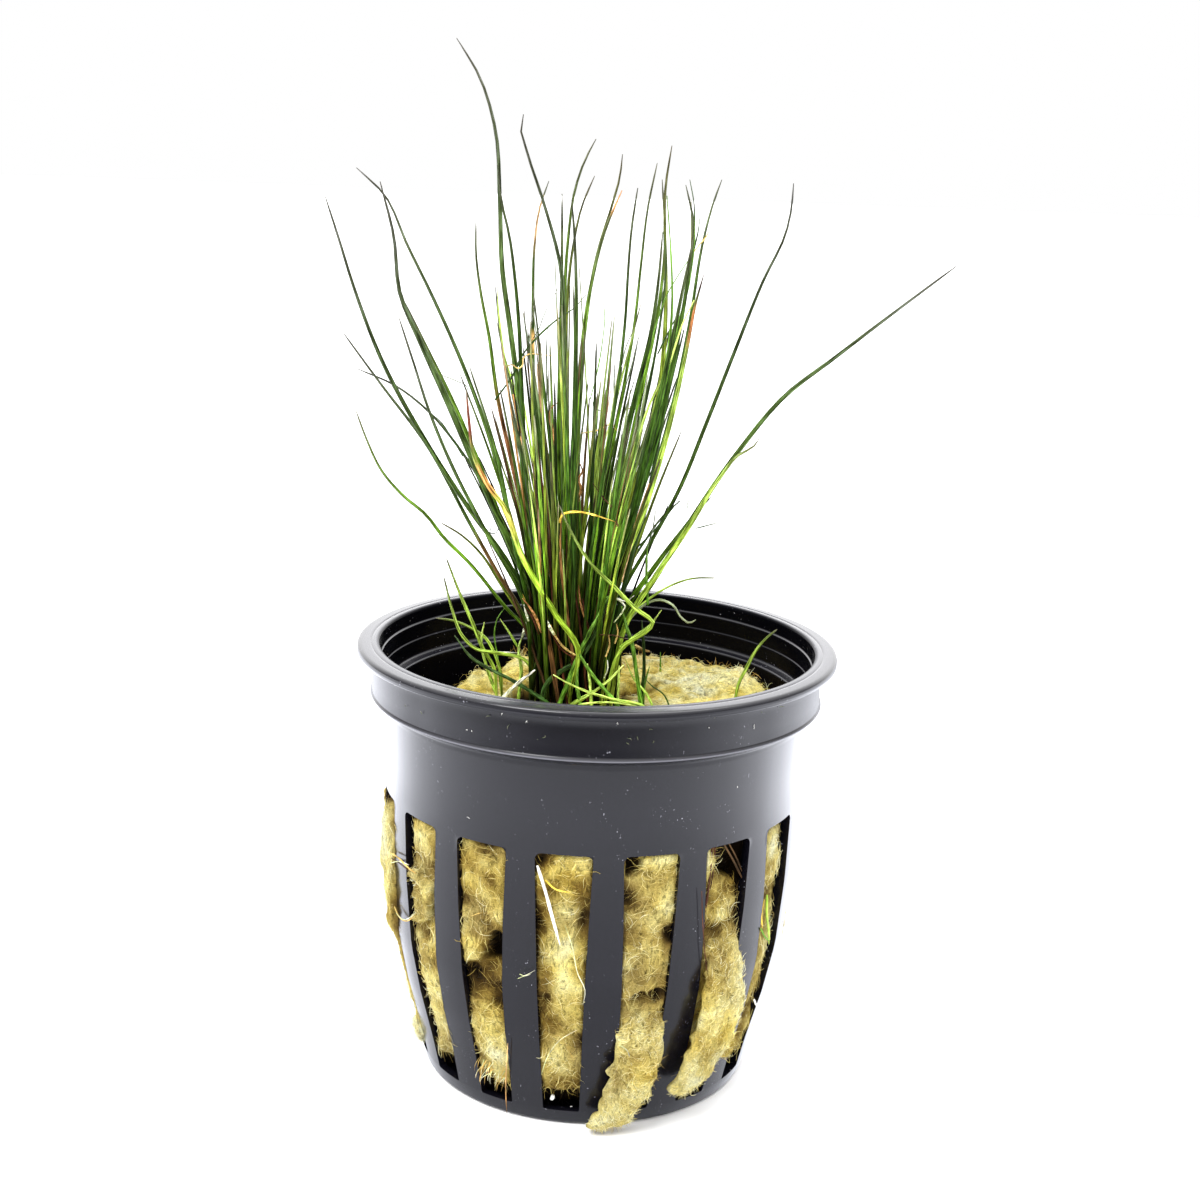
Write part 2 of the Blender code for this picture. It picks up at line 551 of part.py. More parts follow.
def keep_apart(paths, radii, sheaf_of, crowns):
    """Move the paths of the leaves sideways until none comes nearer to another than CLEARANCE.

    The last paths are the crowns, which stay where they are and may hold their own leaves. The
    foot of every leaf stays too.
    """
    sizes = [len(path) for path in paths]
    offsets = np.concatenate(([0], np.cumsum(sizes)))
    points = np.vstack(paths)
    start = points.copy()
    radius = np.concatenate(radii)
    fixed = np.zeros(len(points), dtype=bool)
    fixed[offsets[len(paths) - crowns]:] = True
    first, owner = [], []
    for index, size in enumerate(sizes):
        low = offsets[index]
        fixed[low] = True
        first += list(range(low, low + size - 1))
        owner += [index] * (size - 1)
    first, owner = np.array(first), np.array(owner)
    sheaf = np.array(sheaf_of)[owner]
    left, right = np.triu_indices(len(first), 1)
    in_crown = (owner[right] >= len(paths) - crowns) & (sheaf[left] == sheaf[right])
    keep = (owner[left] != owner[right]) & ~in_crown
    left, right = first[left[keep]], first[right[keep]]
    weights = np.array((0.55, 1.0, 0.25))
    for step in range(APART_ROUNDS):
        share_l, share_r = closest_between(points[left], points[left + 1],
                                           points[right], points[right + 1])
        at_l = points[left] + (points[left + 1] - points[left]) * share_l[:, None]
        at_r = points[right] + (points[right + 1] - points[right]) * share_r[:, None]
        apart = at_l - at_r
        distance = np.maximum(np.linalg.norm(apart, axis=1), 1e-6)
        need = (radius[left] + (radius[left + 1] - radius[left]) * share_l
                + radius[right] + (radius[right + 1] - radius[right]) * share_r + CLEARANCE)
        short = need - distance
        near = short > 0
        if not near.any():
            break
        push = apart[near] / distance[near][:, None] * weights
        push *= (short[near] * 0.5 / np.maximum(np.linalg.norm(push, axis=1), 0.3))[:, None]
        moves = np.zeros_like(points)
        weight = np.full(len(points), 1e-6)
        for index, share, sign in ((left[near], share_l[near], 1), (right[near], share_r[near], -1)):
            for end, part in ((index, 1 - share), (index + 1, share)):
                np.add.at(moves, end, sign * push * part[:, None])
                np.add.at(weight, end, part)
        moves /= np.maximum(weight, 1.0)[:, None]
        moves[fixed] = 0.0
        points += moves * 1.3
        if step < APART_ROUNDS - UNEASED_ROUNDS:
            points = ease(points, start, offsets, fixed)
    return [points[low:low + size] for low, size in zip(offsets, sizes)]


def ease(points, start, offsets, fixed):
    """Spread each move along its leaf, so that no leaf gets a kink."""
    shift = points - start
    eased = shift.copy()
    for low, high in zip(offsets, offsets[1:]):
        eased[low + 1:high - 1] = (0.5 * shift[low + 1:high - 1]
                                   + 0.25 * (shift[low:high - 2] + shift[low + 2:high]))
        eased[high - 1] = 0.5 * (shift[high - 1] + shift[high - 2])
    eased[fixed] = 0.0
    return start + eased


def stand_on(obj, foot, support):
    """Put an object whose own origin is at its foot on its place, carried by a support."""
    obj.parent = support
    obj.location = np.array(foot) * MM - np.array(support.location)


def add_leaf_curve(name, leaves, collection, origin=(0.0, 0.0, 0.0)):
    """A curve with one tapered tube for each leaf, given as (path, radii), from an origin."""
    curve = bpy.data.curves.new(name, "CURVE")
    curve.dimensions = "3D"
    curve.bevel_depth = MM
    curve.bevel_resolution = 0
    curve.use_fill_caps = True
    for path, radii in leaves:
        spline = curve.splines.new("POLY")
        spline.points.add(len(path) - 1)
        for point, place, radius in zip(spline.points, path - np.array(origin), radii):
            point.co = (*(place * MM), 1.0)
            point.radius = radius
    obj = bpy.data.objects.new(name, curve)
    collection.objects.link(obj)
    return obj


def curve_to_mesh(obj, collection):
    """Replace a curve object by its mesh, with the caps welded on."""
    depsgraph = bpy.context.evaluated_depsgraph_get()
    mesh = bpy.data.meshes.new_from_object(obj.evaluated_get(depsgraph))
    bm = bmesh.new()
    bm.from_mesh(mesh)
    bmesh.ops.remove_doubles(bm, verts=bm.verts, dist=0.000005)
    bmesh.ops.recalc_face_normals(bm, faces=bm.faces)
    bm.to_mesh(mesh)
    bm.free()
    made = bpy.data.objects.new(obj.name + "_leaves", mesh)
    made.matrix_world = obj.matrix_world
    collection.objects.link(made)
    bpy.data.objects.remove(obj)
    return as_helper(made)


def make_sheaf(name, foot, leaves, parts, helpers, material):
    """A crown, its origin at its foot, with its leaves grown from it, as one solid."""
    bm = bmesh.new()
    made = bmesh.ops.create_cone(bm, cap_ends=True, segments=8, radius1=CROWN_RADIUS,
                                 radius2=CROWN_RADIUS * 0.94, depth=CROWN_HEIGHT)
    bmesh.ops.translate(bm, vec=(0.0, 0.0, CROWN_HEIGHT / 2), verts=made["verts"])
    crown = add_mesh(name, bm, parts, material)
    own = [(path - foot, radii) for path, radii in leaves]
    helper = curve_to_mesh(add_leaf_curve(name + "_curve", own, helpers), helpers)
    helper.parent = crown
    add_boolean(crown, helper, "UNION")
    return crown


def sheaf_leaves(foot, aim):
    """Paths of the leaves of one sheaf, fanned about its middle."""
    top_x, top_z, depth = aim
    paths = []
    for number, (aside, height, forward) in enumerate(LEAF_FAN):
        turn = math.pi / 4 + number * math.pi / 2
        root = np.array((foot[0] + LEAF_OFFSET * math.cos(turn),
                         foot[1] + LEAF_OFFSET * math.sin(turn), STAND + 0.8))
        above = root + np.array((0.0, 0.0, 3.2))
        tip_z = STAND + (top_z - STAND) * height
        tip = place_in_depth(top_x * (0.55 + 0.45 * height) + aside, tip_z, depth + forward)
        middle = 0.5 * (above + tip) + np.array((-0.06 * (tip[0] - root[0]),
                                                 -0.06 * (tip[1] - root[1]), 1.5))
        paths.append(smooth_path((root, above, middle, tip), LEAF_POINTS))
    return paths


def lay_out_feet():
    """Feet of the blades, then of the sheaves, each on the side of the tuft that it leans to."""
    wanted, sizes = [], []
    for _, depth, radius, drawn in BLADES:
        low_x = drawn[0][0] - WELL_CENTRE[0]
        tip_x = drawn[-1][0] - WELL_CENTRE[0]
        wanted.append((0.55 * low_x + 0.06 * tip_x, 0.24 * depth))
        sizes.append(radius * FOOT_THICKNESS)
    for top_x, _, depth in SHEAVES:
        wanted.append((0.32 * (top_x - WELL_CENTRE[0]), 0.2 * depth))
        sizes.append(CROWN_RADIUS)
    return spread_feet(wanted, sizes)


def single_leaf(foot, stand, radius, drawn, depth):
    """Path and radii of a leaf that is drawn point by point."""
    path = np.array(blade_route(foot, stand, drawn, depth))
    run = np.concatenate(([0.0], np.cumsum(np.linalg.norm(np.diff(path, axis=0), axis=1))))
    return path, taper(run / run[-1], radius)


def make_plant(parts, helpers):
    """Lay out the feet, draw every leaf, keep them apart, and make the nodes."""
    feet = lay_out_feet()
    crowns = feet[len(BLADES):]
    leaves, sheaf_of = [], []
    for foot, (_, depth, radius, drawn) in zip(feet, BLADES):
        leaves.append(single_leaf(foot, STAND, radius, drawn, depth))
        sheaf_of.append(-1)
    for _, foot, radius, drawn, depth in SHOOTS:
        leaves.append(single_leaf(foot, PIT_FLOOR + CLEARANCE, radius, drawn, depth))
        sheaf_of.append(-1)
    for number, (foot, aim) in enumerate(zip(crowns, SHEAVES)):
        for path in sheaf_leaves(foot, aim):
            leaves.append((path, taper(np.linspace(0.0, 1.0, LEAF_POINTS), LEAF_RADIUS)))
            sheaf_of.append(number)
    paths = [path for path, _ in leaves]
    radii = [widths for _, widths in leaves]
    for number, foot in enumerate(crowns):
        paths.append(np.array([(*foot, STAND), (*foot, STAND + CROWN_HEIGHT)]))
        radii.append(np.full(2, CROWN_RADIUS))
        sheaf_of.append(number)
    paths = keep_apart(paths, radii, sheaf_of, len(crowns))
    leaves = list(zip(paths, radii))

    tuft = bpy.data.objects.new("tuft", None)
    tuft.location = (WELL_CENTRE[0] * MM, WELL_CENTRE[1] * MM, STAND * MM)
    parts.objects.link(tuft)
    names = [blade[0] for blade in BLADES] + [shoot[0] for shoot in SHOOTS]
    for number, (name, leaf) in enumerate(zip(names, leaves)):
        foot = leaf[0][0]
        blade = add_leaf_curve(name, [leaf], parts, foot)
        blade.data.materials.append(leaf_material(name, number))
        stand_on(blade, foot, tuft)
    for number, (x, y) in enumerate(crowns):
        name = f"sheaf_{number + 1:02d}"
        foot = np.array((x, y, STAND))
        low = len(names) + number * len(LEAF_FAN)
        own = leaves[low:low + len(LEAF_FAN)]
        sheaf = make_sheaf(name, foot, own, parts, helpers, leaf_material(name, number))
        stand_on(sheaf, foot, tuft)
    return tuft


def main():
    clear_scene()
    parts = new_collection("dwarf_hairgrass_in_net_pot")
    helpers = new_collection("cutters")
    pot = make_pot(parts, helpers)
    make_wool(parts, helpers).parent = pot
    make_plant(parts, helpers).parent = pot


main()
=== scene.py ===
"""Looks of a dwarf hairgrass tuft rooted in rock wool in its net pot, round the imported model.

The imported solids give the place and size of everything. The pot, the wool and the leaves are
made again here with fine meshes that stand for those solids. Dimensions are in millimetres
and become metres when a mesh is made.
"""

import itertools
import math

import bpy
import numpy as np
from mathutils import Matrix, Vector


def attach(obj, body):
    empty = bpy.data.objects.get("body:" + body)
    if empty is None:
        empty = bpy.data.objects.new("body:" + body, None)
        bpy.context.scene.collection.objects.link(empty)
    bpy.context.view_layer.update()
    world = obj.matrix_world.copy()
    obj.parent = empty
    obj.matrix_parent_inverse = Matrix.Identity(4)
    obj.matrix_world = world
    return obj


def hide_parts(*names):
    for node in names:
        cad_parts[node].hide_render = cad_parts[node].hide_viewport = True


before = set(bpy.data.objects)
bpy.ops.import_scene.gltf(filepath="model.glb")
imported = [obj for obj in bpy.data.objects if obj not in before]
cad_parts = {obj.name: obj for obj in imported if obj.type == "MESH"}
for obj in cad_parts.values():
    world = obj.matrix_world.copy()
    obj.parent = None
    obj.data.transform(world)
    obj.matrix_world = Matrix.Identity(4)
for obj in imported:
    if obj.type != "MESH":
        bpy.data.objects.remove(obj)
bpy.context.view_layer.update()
MM = 0.001

# Camera: where it stands, how far it looks down, how far it is tilted, and its lens
CAMERA_PLACE = (0.11, -200.6, 105.3)
CAMERA_PITCH = math.radians(13.88)
CAMERA_ROLL = math.radians(2.06)
CAMERA_LENS = 54.06

# Pot, as in the solids
OUTSIDE = ((0.0, 19.2), (6.0, 20.6), (12.0, 22.2), (18.0, 23.4), (26.0, 24.0), (44.2, 24.3))
INSIDE = ((1.1, 18.5), (9.0, 20.5), (18.0, 22.5), (44.2, 23.4))
SLOT_COUNT = 16
SLOT_PITCH = 2 * math.pi / SLOT_COUNT
FRONT_BAR_ANGLE = math.radians(4.8)
SLOT_FOOT, SLOT_TOP = 1.9, 34.0
SLOT_HALF_FOOT, SLOT_HALF_TOP = 2.03, 3.13
FLOOR_SLOT_HALF = 1.3
FLOOR_SLOT_RADII = (7.5, 16.0)
FLOOR_EDGE = 18.5

# Wool and tuft, as in the solids
WOOL_INSET = 5.0
WOOL_INSET_ANGLE = math.radians(-100.0)
WELL_CENTRE = np.array((-3.1, 0.0))
WELL_RADIUS = 6.9
WELL_FLOOR = 41.5
STAND = 41.7
CROWN_TOP = 44.9


def srgb(red, green, blue):
    """Linear colour of an 8-bit screen colour."""
    shares = np.array((red, green, blue)) / 255.0
    return np.where(shares <= 0.04045, shares / 12.92, ((shares + 0.055) / 1.055) ** 2.4)


def ramp(values, stops):
    """Colours between stops of (value, screen colour)."""
    places = [stop[0] for stop in stops]
    colours = np.array([srgb(*stop[1]) for stop in stops])
    return np.stack([np.interp(values, places, colours[:, axis]) for axis in range(3)], axis=-1)


def smoothstep(low, high, values):
    share = np.clip((values - low) / (high - low), 0.0, 1.0)
    return share * share * (3.0 - 2.0 * share)


def lattice(cells, seed):
    """A repeatable number from -1 to 1 for each integer cell."""
    x, y, z = (cells[..., axis].astype(np.uint32) for axis in range(3))
    mixed = x * np.uint32(374761393) + y * np.uint32(668265263) + z * np.uint32(2147483647)
    mixed = mixed + np.uint32(seed * 40503 + 17)
    mixed = (mixed ^ (mixed >> np.uint32(13))) * np.uint32(1274126177)
    mixed = mixed ^ (mixed >> np.uint32(16))
    mixed = (mixed ^ (mixed >> np.uint32(11))) * np.uint32(2246822519)
    mixed = mixed ^ (mixed >> np.uint32(15))
    return mixed.astype(float) / 2147483648.0 - 1.0


def noise(points, size, seed=0):
    """Smooth noise from -1 to 1 with lumps of a size, at points."""
    grid = np.asarray(points, dtype=float) / size + 517.3
    cell = np.floor(grid).astype(np.int64)
    part = grid - cell
    part = part * part * (3.0 - 2.0 * part)
    total = 0.0
    for corner in itertools.product((0, 1), repeat=3):
        corner = np.array(corner)
        weight = np.prod(np.where(corner, part, 1.0 - part), axis=-1)
        total = total + weight * lattice(cell + corner, seed)
    return total


# Materials

class Nodes:
    """The node tree of a material or the world, with short calls for the nodes used here."""

    def __init__(self, owner, surface):
        owner.use_nodes = True
        self.tree = owner.node_tree
        self.surface = self.tree.nodes[surface]

    def node(self, kind, settings=(), **inputs):
        made = self.tree.nodes.new("ShaderNode" + kind)
        for key, value in dict(settings).items():
            setattr(made, key, value)
        for key, value in inputs.items():
            self.put(made.inputs[key.replace("_", " ")], value)
        return made

    def put(self, socket, value):
        if isinstance(value, bpy.types.NodeSocket):
            self.tree.links.new(value, socket)
        else:
            socket.default_value = value

    def set(self, **inputs):
        for key, value in inputs.items():
            self.put(self.surface.inputs[key.replace("_", " ")], value)

    def position(self, scale=(1.0, 1.0, 1.0)):
        """Object coordinates in millimetres, stretched by a scale."""
        place = self.node("TexCoord").outputs["Object"]
        mapping = self.node("Mapping", Scale=tuple(s / MM for s in scale))
        self.put(mapping.inputs["Vector"], place)
        return mapping.outputs["Vector"]

    def noise(self, vector, scale, detail=3.0, roughness=0.55, distortion=0.0):
        made = self.node("TexNoise", Vector=vector, Scale=scale, Detail=detail,
                         Roughness=roughness, Distortion=distortion)
        return made.outputs["Fac"]

    def curve(self, value, *stops):
        """A ramp through stops of (place, grey or colour)."""
        made = self.node("ValToRGB", Fac=value)
        elements = made.color_ramp.elements
        while len(elements) > 1:
            elements.remove(elements[-1])
        for number, (place, level) in enumerate(stops):
            element = elements[0] if number == 0 else elements.new(place)
            element.position = place
            element.color = (*np.broadcast_to(level, 3), 1.0)
        return made.outputs["Color"]

    def math(self, operation, *values):
        made = self.node("Math", {"operation": operation})
        for socket, value in zip(made.inputs, values):
            self.put(socket, value)
        return made.outputs["Value"]

    def mix(self, share, first, second, blend="MIX"):
        made = self.node("Mix", {"data_type": "RGBA", "blend_type": blend})
        self.put(made.inputs["Factor"], share)
        self.put(made.inputs["A"], first)
        self.put(made.inputs["B"], second)
        return made.outputs["Result"]

    def bump(self, height, strength, distance, normal=None):
        made = self.node("Bump", Height=height, Strength=strength, Distance=distance * MM)
        if normal:
            self.put(made.inputs["Normal"], normal)
        return made.outputs["Normal"]

    def attribute(self, name):
        return self.node("Attribute", {"attribute_name": name}).outputs["Color"]


class Shader(Nodes):
    def __init__(self, name):
        self.material = bpy.data.materials.new(name)
        super().__init__(self.material, "Principled BSDF")


def rgba(*screen):
    """Node colour of an 8-bit screen colour."""
    return (*srgb(*screen).tolist(), 1.0)


def pot_plastic():
    """Dark moulded plastic: satin, with a fine grain, faint dust and a few scratches, painted near
    black inside as shade and with a painted highlight on the collar's foot and the rim's top.
    """
    s = Shader("pot_plastic_worn_and_shaded")
    place = s.position()
    grain = s.noise(place, 3.2, 4.0)
    broad = s.noise(place, 0.13, 3.0)
    dust = s.curve(s.noise(place, 3.4, 2.0, 0.4), (0.71, 0.0), (0.75, 1.0))
    patch = s.curve(s.noise(place, 0.3, 2.0), (0.5, 0.0), (0.64, 1.0))
    specks = s.math("MULTIPLY", dust, patch)
    scratch = s.curve(s.noise(s.position((1.5, 1.5, 0.4)), 1.6, 2.0, 0.5, 2.5),
                      (0.745, 0.0), (0.756, 1.0))
    marks = s.math("MAXIMUM", specks, s.math("MULTIPLY", scratch, patch))
    parts = s.node("SeparateColor", Color=s.attribute("tone")).outputs
    outer_gloss_inner_shade = parts["Red"]
    base = s.mix(broad, rgba(12, 12, 17), rgba(18, 17, 25))
    # Painted shade: where the tone's red is 0, inside the pot but for its steps, the base turns
    # near black.
    base = s.mix(outer_gloss_inner_shade, rgba(5, 5, 9), base)
    # Painted highlight: the tone's blue lightens the collar's foot and the rim's top to pale grey.
    base = s.mix(parts["Blue"], base, rgba(150, 150, 158))
    s.set(Base_Color=s.mix(s.math("MULTIPLY", marks, 0.45), base, rgba(190, 190, 200)),
          Roughness=s.curve(broad, (0.3, 0.16), (0.7, 0.24)),
          Specular_IOR_Level=0.04, Specular_Tint=(0.9, 0.9, 1.0, 1.0),
          Coat_Weight=s.math("MULTIPLY", outer_gloss_inner_shade, 0.8),
          Coat_Roughness=0.2, Coat_Tint=(0.97, 0.97, 1.0, 1.0),
          Normal=s.bump(marks, 0.3, 0.05, s.bump(grain, 0.1, 0.05)))
    return s.material


def wool_fibre():
    """Matted mineral fibre: the vertex colour, crossed by fine streaks and dark pores."""
    s = Shader("rock_wool_matted")
    tone = s.attribute("tone")
    streak = s.noise(s.position((1.0, 1.0, 0.3)), 3.0, 8.0, 0.75, 2.4)
    across = s.noise(s.position((0.35, 0.35, 1.3)), 2.6, 7.0, 0.72, 2.8)
    fibres = s.math("MAXIMUM", streak, across)
    pores = s.curve(s.noise(s.position((1.0, 1.0, 0.45)), 1.5, 6.0, 0.68, 1.8),
                    (0.33, 0.36), (0.47, 1.0))
    light = s.curve(fibres, (0.4, 0.45), (0.56, 0.86), (0.7, 1.35))
    shade = s.mix(1.0, tone, s.mix(1.0, light, pores, "MULTIPLY"), "MULTIPLY")
    s.set(Base_Color=shade, Roughness=0.92, Specular_IOR_Level=0.04,
          Normal=s.bump(fibres, 1.0, 0.45, s.bump(pores, 0.7, 0.4)))
    return s.material


def strand_fibre():
    """Single strands: the vertex colour with small changes along the strand."""
    s = Shader("wool_strand")
    change = s.curve(s.noise(s.position(), 1.7, 3.0), (0.3, 0.75), (0.7, 1.2))
    s.set(Base_Color=s.mix(1.0, s.attribute("tone"), change, "MULTIPLY"), Roughness=0.7,
          Specular_IOR_Level=0.12)
    return s.material


def leaf_skin():
    """Living leaf: the vertex colour with fine veins along the leaf, their brightest streaks a
    painted highlight, satin.
    """
    s = Shader("leaf_skin")
    flat = s.node("UVMap", {"uv_map": "leaf"}).outputs["UV"]
    mapping = s.node("Mapping", Vector=flat, Scale=(9.0, 0.35, 1.0))
    vein = s.noise(mapping.outputs["Vector"], 1.0, 3.0, 0.6, 0.3)
    blotch = s.noise(s.position((1.0, 1.0, 0.5)), 0.35, 4.0, 0.6)
    # The veins' top stop, bright and bluish white, is a painted highlight; the rest is the leaf's
    # own streaking.
    change = s.curve(vein, (0.34, 0.12), (0.5, 0.85), (0.68, (2.3, 2.3, 3.4)))
    spots = s.curve(blotch, (0.35, 0.65), (0.65, 1.25))
    colour = s.mix(1.0, s.mix(1.0, s.attribute("tone"), change, "MULTIPLY"), spots, "MULTIPLY")
    s.set(Base_Color=colour, Roughness=s.curve(blotch, (0.3, 0.42), (0.7, 0.56)),
          Specular_IOR_Level=0.05, Normal=s.bump(vein, 0.5, 0.06))
    return s.material


# Meshes

def add_piece(name, verts, faces, material, tones, uvs=None):
    """A smooth mesh piece in millimetres that rides on the part."""
    mesh = bpy.data.meshes.new(name)
    mesh.from_pydata((np.asarray(verts) * MM).tolist(), [], faces)
    mesh.polygons.foreach_set("use_smooth", [True] * len(mesh.polygons))
    mesh.materials.append(material)
    layer = mesh.attributes.new("tone", "FLOAT_COLOR", "POINT")
    solid = np.concatenate((tones, np.ones((len(tones), 1))), axis=1)
    layer.data.foreach_set("color", solid.astype(np.float32).ravel())
    if uvs is not None:
        layer = mesh.uv_layers.new(name="leaf")
        corners = np.empty(len(mesh.loops), dtype=np.int32)
        mesh.loops.foreach_get("vertex_index", corners)
        layer.data.foreach_set("uv", np.asarray(uvs, dtype=np.float32)[corners].ravel())
    obj = bpy.data.objects.new(name, mesh)
    bpy.context.scene.collection.objects.link(obj)
    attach(obj, "root")
    return obj


def ring_faces(count, steps, sides):
    """Faces of closed tubes made of rings: the quads of all tubes, then each one's two ends."""
    start = (np.arange(count) * steps * sides)[:, None, None]
    ring = start + (np.arange(steps - 1) * sides)[None, :, None]
    here, there = ring + np.arange(sides), ring + (np.arange(sides) + 1) % sides
    faces = np.stack((here, there, there + sides, here + sides), axis=-1).reshape(-1, 4).tolist()
    for first in range(0, count * steps * sides, steps * sides):
        faces.append(list(range(first + sides - 1, first - 1, -1)))
        last = first + (steps - 1) * sides
        faces.append(list(range(last, last + sides)))
    return faces


def tubes(paths, radii, sides, ribs=0.0):
    """Closed tubes along paths (tube, point, axis), with radii (tube, point)."""
    above_floor = np.maximum(paths[..., 2:], radii[..., None])
    paths = np.concatenate((paths[..., :2], above_floor), axis=-1)
    ahead = np.gradient(paths, axis=1)
    ahead /= np.maximum(np.linalg.norm(ahead, axis=2, keepdims=True), 1e-9)
    least = np.argmin(np.abs(ahead.mean(axis=1)), axis=1)
    aside = np.cross(ahead, np.eye(3)[least][:, None, :])
    aside /= np.linalg.norm(aside, axis=2, keepdims=True)
    up = np.cross(ahead, aside)
    turn = 2 * math.pi * np.arange(sides) / sides
    width = np.where(np.arange(sides) % 2, 1.0 - ribs, 1.0)
    spoke = (np.cos(turn)[:, None] * aside[:, :, None, :]
             + np.sin(turn)[:, None] * up[:, :, None, :]) * width[:, None]
    verts = (paths[:, :, None, :] + radii[:, :, None, None] * spoke).reshape(-1, 3)
    return verts, ring_faces(*radii.shape, sides)


def smooth_path(points, count):
    """A smooth curve through the points, read at equal steps along its length."""
    points = np.asarray(points, dtype=float)
    gaps = np.linalg.norm(np.diff(points, axis=0), axis=1)
    run = np.concatenate(([0.0], np.cumsum(gaps)))
    slopes = np.diff(points, axis=0) / gaps[:, None]
    inner = ((slopes[:-1] * gaps[1:, None] + slopes[1:] * gaps[:-1, None])
             / (gaps[:-1] + gaps[1:])[:, None])
    ends = np.vstack((slopes[:1], inner, slopes[-1:]))
    steps = np.linspace(0.0, run[-1], count)
    part = np.clip(np.searchsorted(run, steps, side="right") - 1, 0, len(gaps) - 1)
    share = ((steps - run[part]) / gaps[part])[:, None]
    square, cube = share ** 2, share ** 3
    return ((2 * cube - 3 * square + 1) * points[part] + (3 * square - 2 * cube) * points[part + 1]
            + gaps[part][:, None] * ((cube - 2 * square + share) * ends[part]
                                     + (cube - square) * ends[part + 1]))


# Pot

def read(side, z):
    heights, radii = zip(*side)
    return np.interp(z, heights, radii)


def slot_half(z):
    share = np.clip((z - SLOT_FOOT) / (SLOT_TOP - SLOT_FOOT), 0.0, 1.0)
    return SLOT_HALF_FOOT + (SLOT_HALF_TOP - SLOT_HALF_FOOT) * share


TOP_CORNER, FOOT_CORNER = 0.75, 0.2
BAR_COLUMNS, SLOT_COLUMNS = 6, 8


def slot_rows():
    """Heights and half widths of a slot from its foot to its top, with round corners."""
    rows = []
    for turn in np.radians((90, 60, 30, 0)):
        z = SLOT_FOOT + FOOT_CORNER * (1 - math.sin(turn))
        rows.append((z, slot_half(z) - FOOT_CORNER * (1 - math.cos(turn))))
    for z in np.linspace(SLOT_FOOT + 2.0, SLOT_TOP - 2.0, 22):
        rows.append((z, float(slot_half(z))))
    for turn in np.radians((0, 22.5, 45, 67.5, 90)):
        z = SLOT_TOP - TOP_CORNER * (1 - math.sin(turn))
        rows.append((z, slot_half(z) - TOP_CORNER * (1 - math.cos(turn))))
    return rows


def pot_rows():
    """Rows of the pot's section: radius, height, half width of the slot there, and its kind."""
    band = slot_rows()
    foot_half = band[0][1]
    near, far = FLOOR_SLOT_RADII
    rows = [(near, 0.0, FLOOR_SLOT_HALF, "under")]
    rows += [(far, 0.0, FLOOR_SLOT_HALF, "under"), (18.6, 0.0, foot_half, "")]
    rows += [(18.95, 0.1, foot_half, ""), (19.2, 0.35, foot_half, "")]
    rows += [(read(OUTSIDE, z), z, half, "out") for z, half in band]
    rows += [(read(OUTSIDE, z) + 0.008 * (z - SLOT_TOP), z, SLOT_HALF_TOP, "")
             for z in (35.5, 38.0, 41.0, 43.4)]
    rows += [(radius, z, SLOT_HALF_TOP, "") for radius, z in (
        (24.42, 43.95), (24.6, 44.25), (24.98, 44.48), (25.4, 44.66), (25.74, 44.84),
        (25.93, 44.97), (26.0, 45.09), (25.96, 45.23), (25.86, 45.37), (25.79, 45.5),
        (25.77, 46.6), (25.74, 48.4), (25.73, 49.3), (25.84, 49.6),
        (26.15, 49.74), (26.6, 49.78), (27.2, 49.8), (27.42, 49.87), (27.5, 50.0),
        (27.5, 50.4), (27.46, 50.6), (27.36, 50.73), (27.2, 50.81), (26.95, 50.85),
        (26.2, 50.88), (25.94, 50.88), (25.86, 50.82), (25.78, 50.88), (25.4, 50.9),
        (25.12, 50.87), (24.98, 50.78), (24.92, 50.62),
        (24.9, 50.3), (24.88, 49.3), (24.8, 49.16),
        (24.68, 49.1), (24.66, 48.9), (24.66, 47.35), (24.6, 47.25), (24.5, 47.2),
        (24.48, 47.0), (24.46, 45.6), (24.4, 45.3), (24.2, 45.16), (23.65, 45.1),
        (23.45, 45.0), (23.4, 44.8), (23.4, 44.2), (23.33, 42.0), (23.22, 39.0),
        (23.12, 36.0))]
    rows += [(read(INSIDE, z), z, half, "in") for z, half in reversed(band)]
    rows += [(18.7, 1.35, foot_half, ""), (18.45, 1.15, foot_half, ""), (18.2, 1.1, foot_half, "")]
    rows += [(far, 1.1, FLOOR_SLOT_HALF, "over"), (near, 1.1, FLOOR_SLOT_HALF, "over")]
    return rows


# Edges of the steps inside the collar, which keep the coat and are left out of the inner wall's
# painted shade: height and how much
SHINY_STEPS = {49.16: 1.0, 49.1: 1.0, 47.25: 0.3, 47.2: 0.3, 45.3: 1.0, 45.16: 1.0, 45.1: 1.0,
               45.0: 1.0}
# Painted highlight on edges outside, the collar's foot and the rim's top: height and how much
PAINTED_HIGHLIGHT_ROWS = {45.09: 0.45, 45.23: 0.1, 50.85: 0.08, 50.88: 0.13, 50.9: 0.13, 50.87: 0.13}


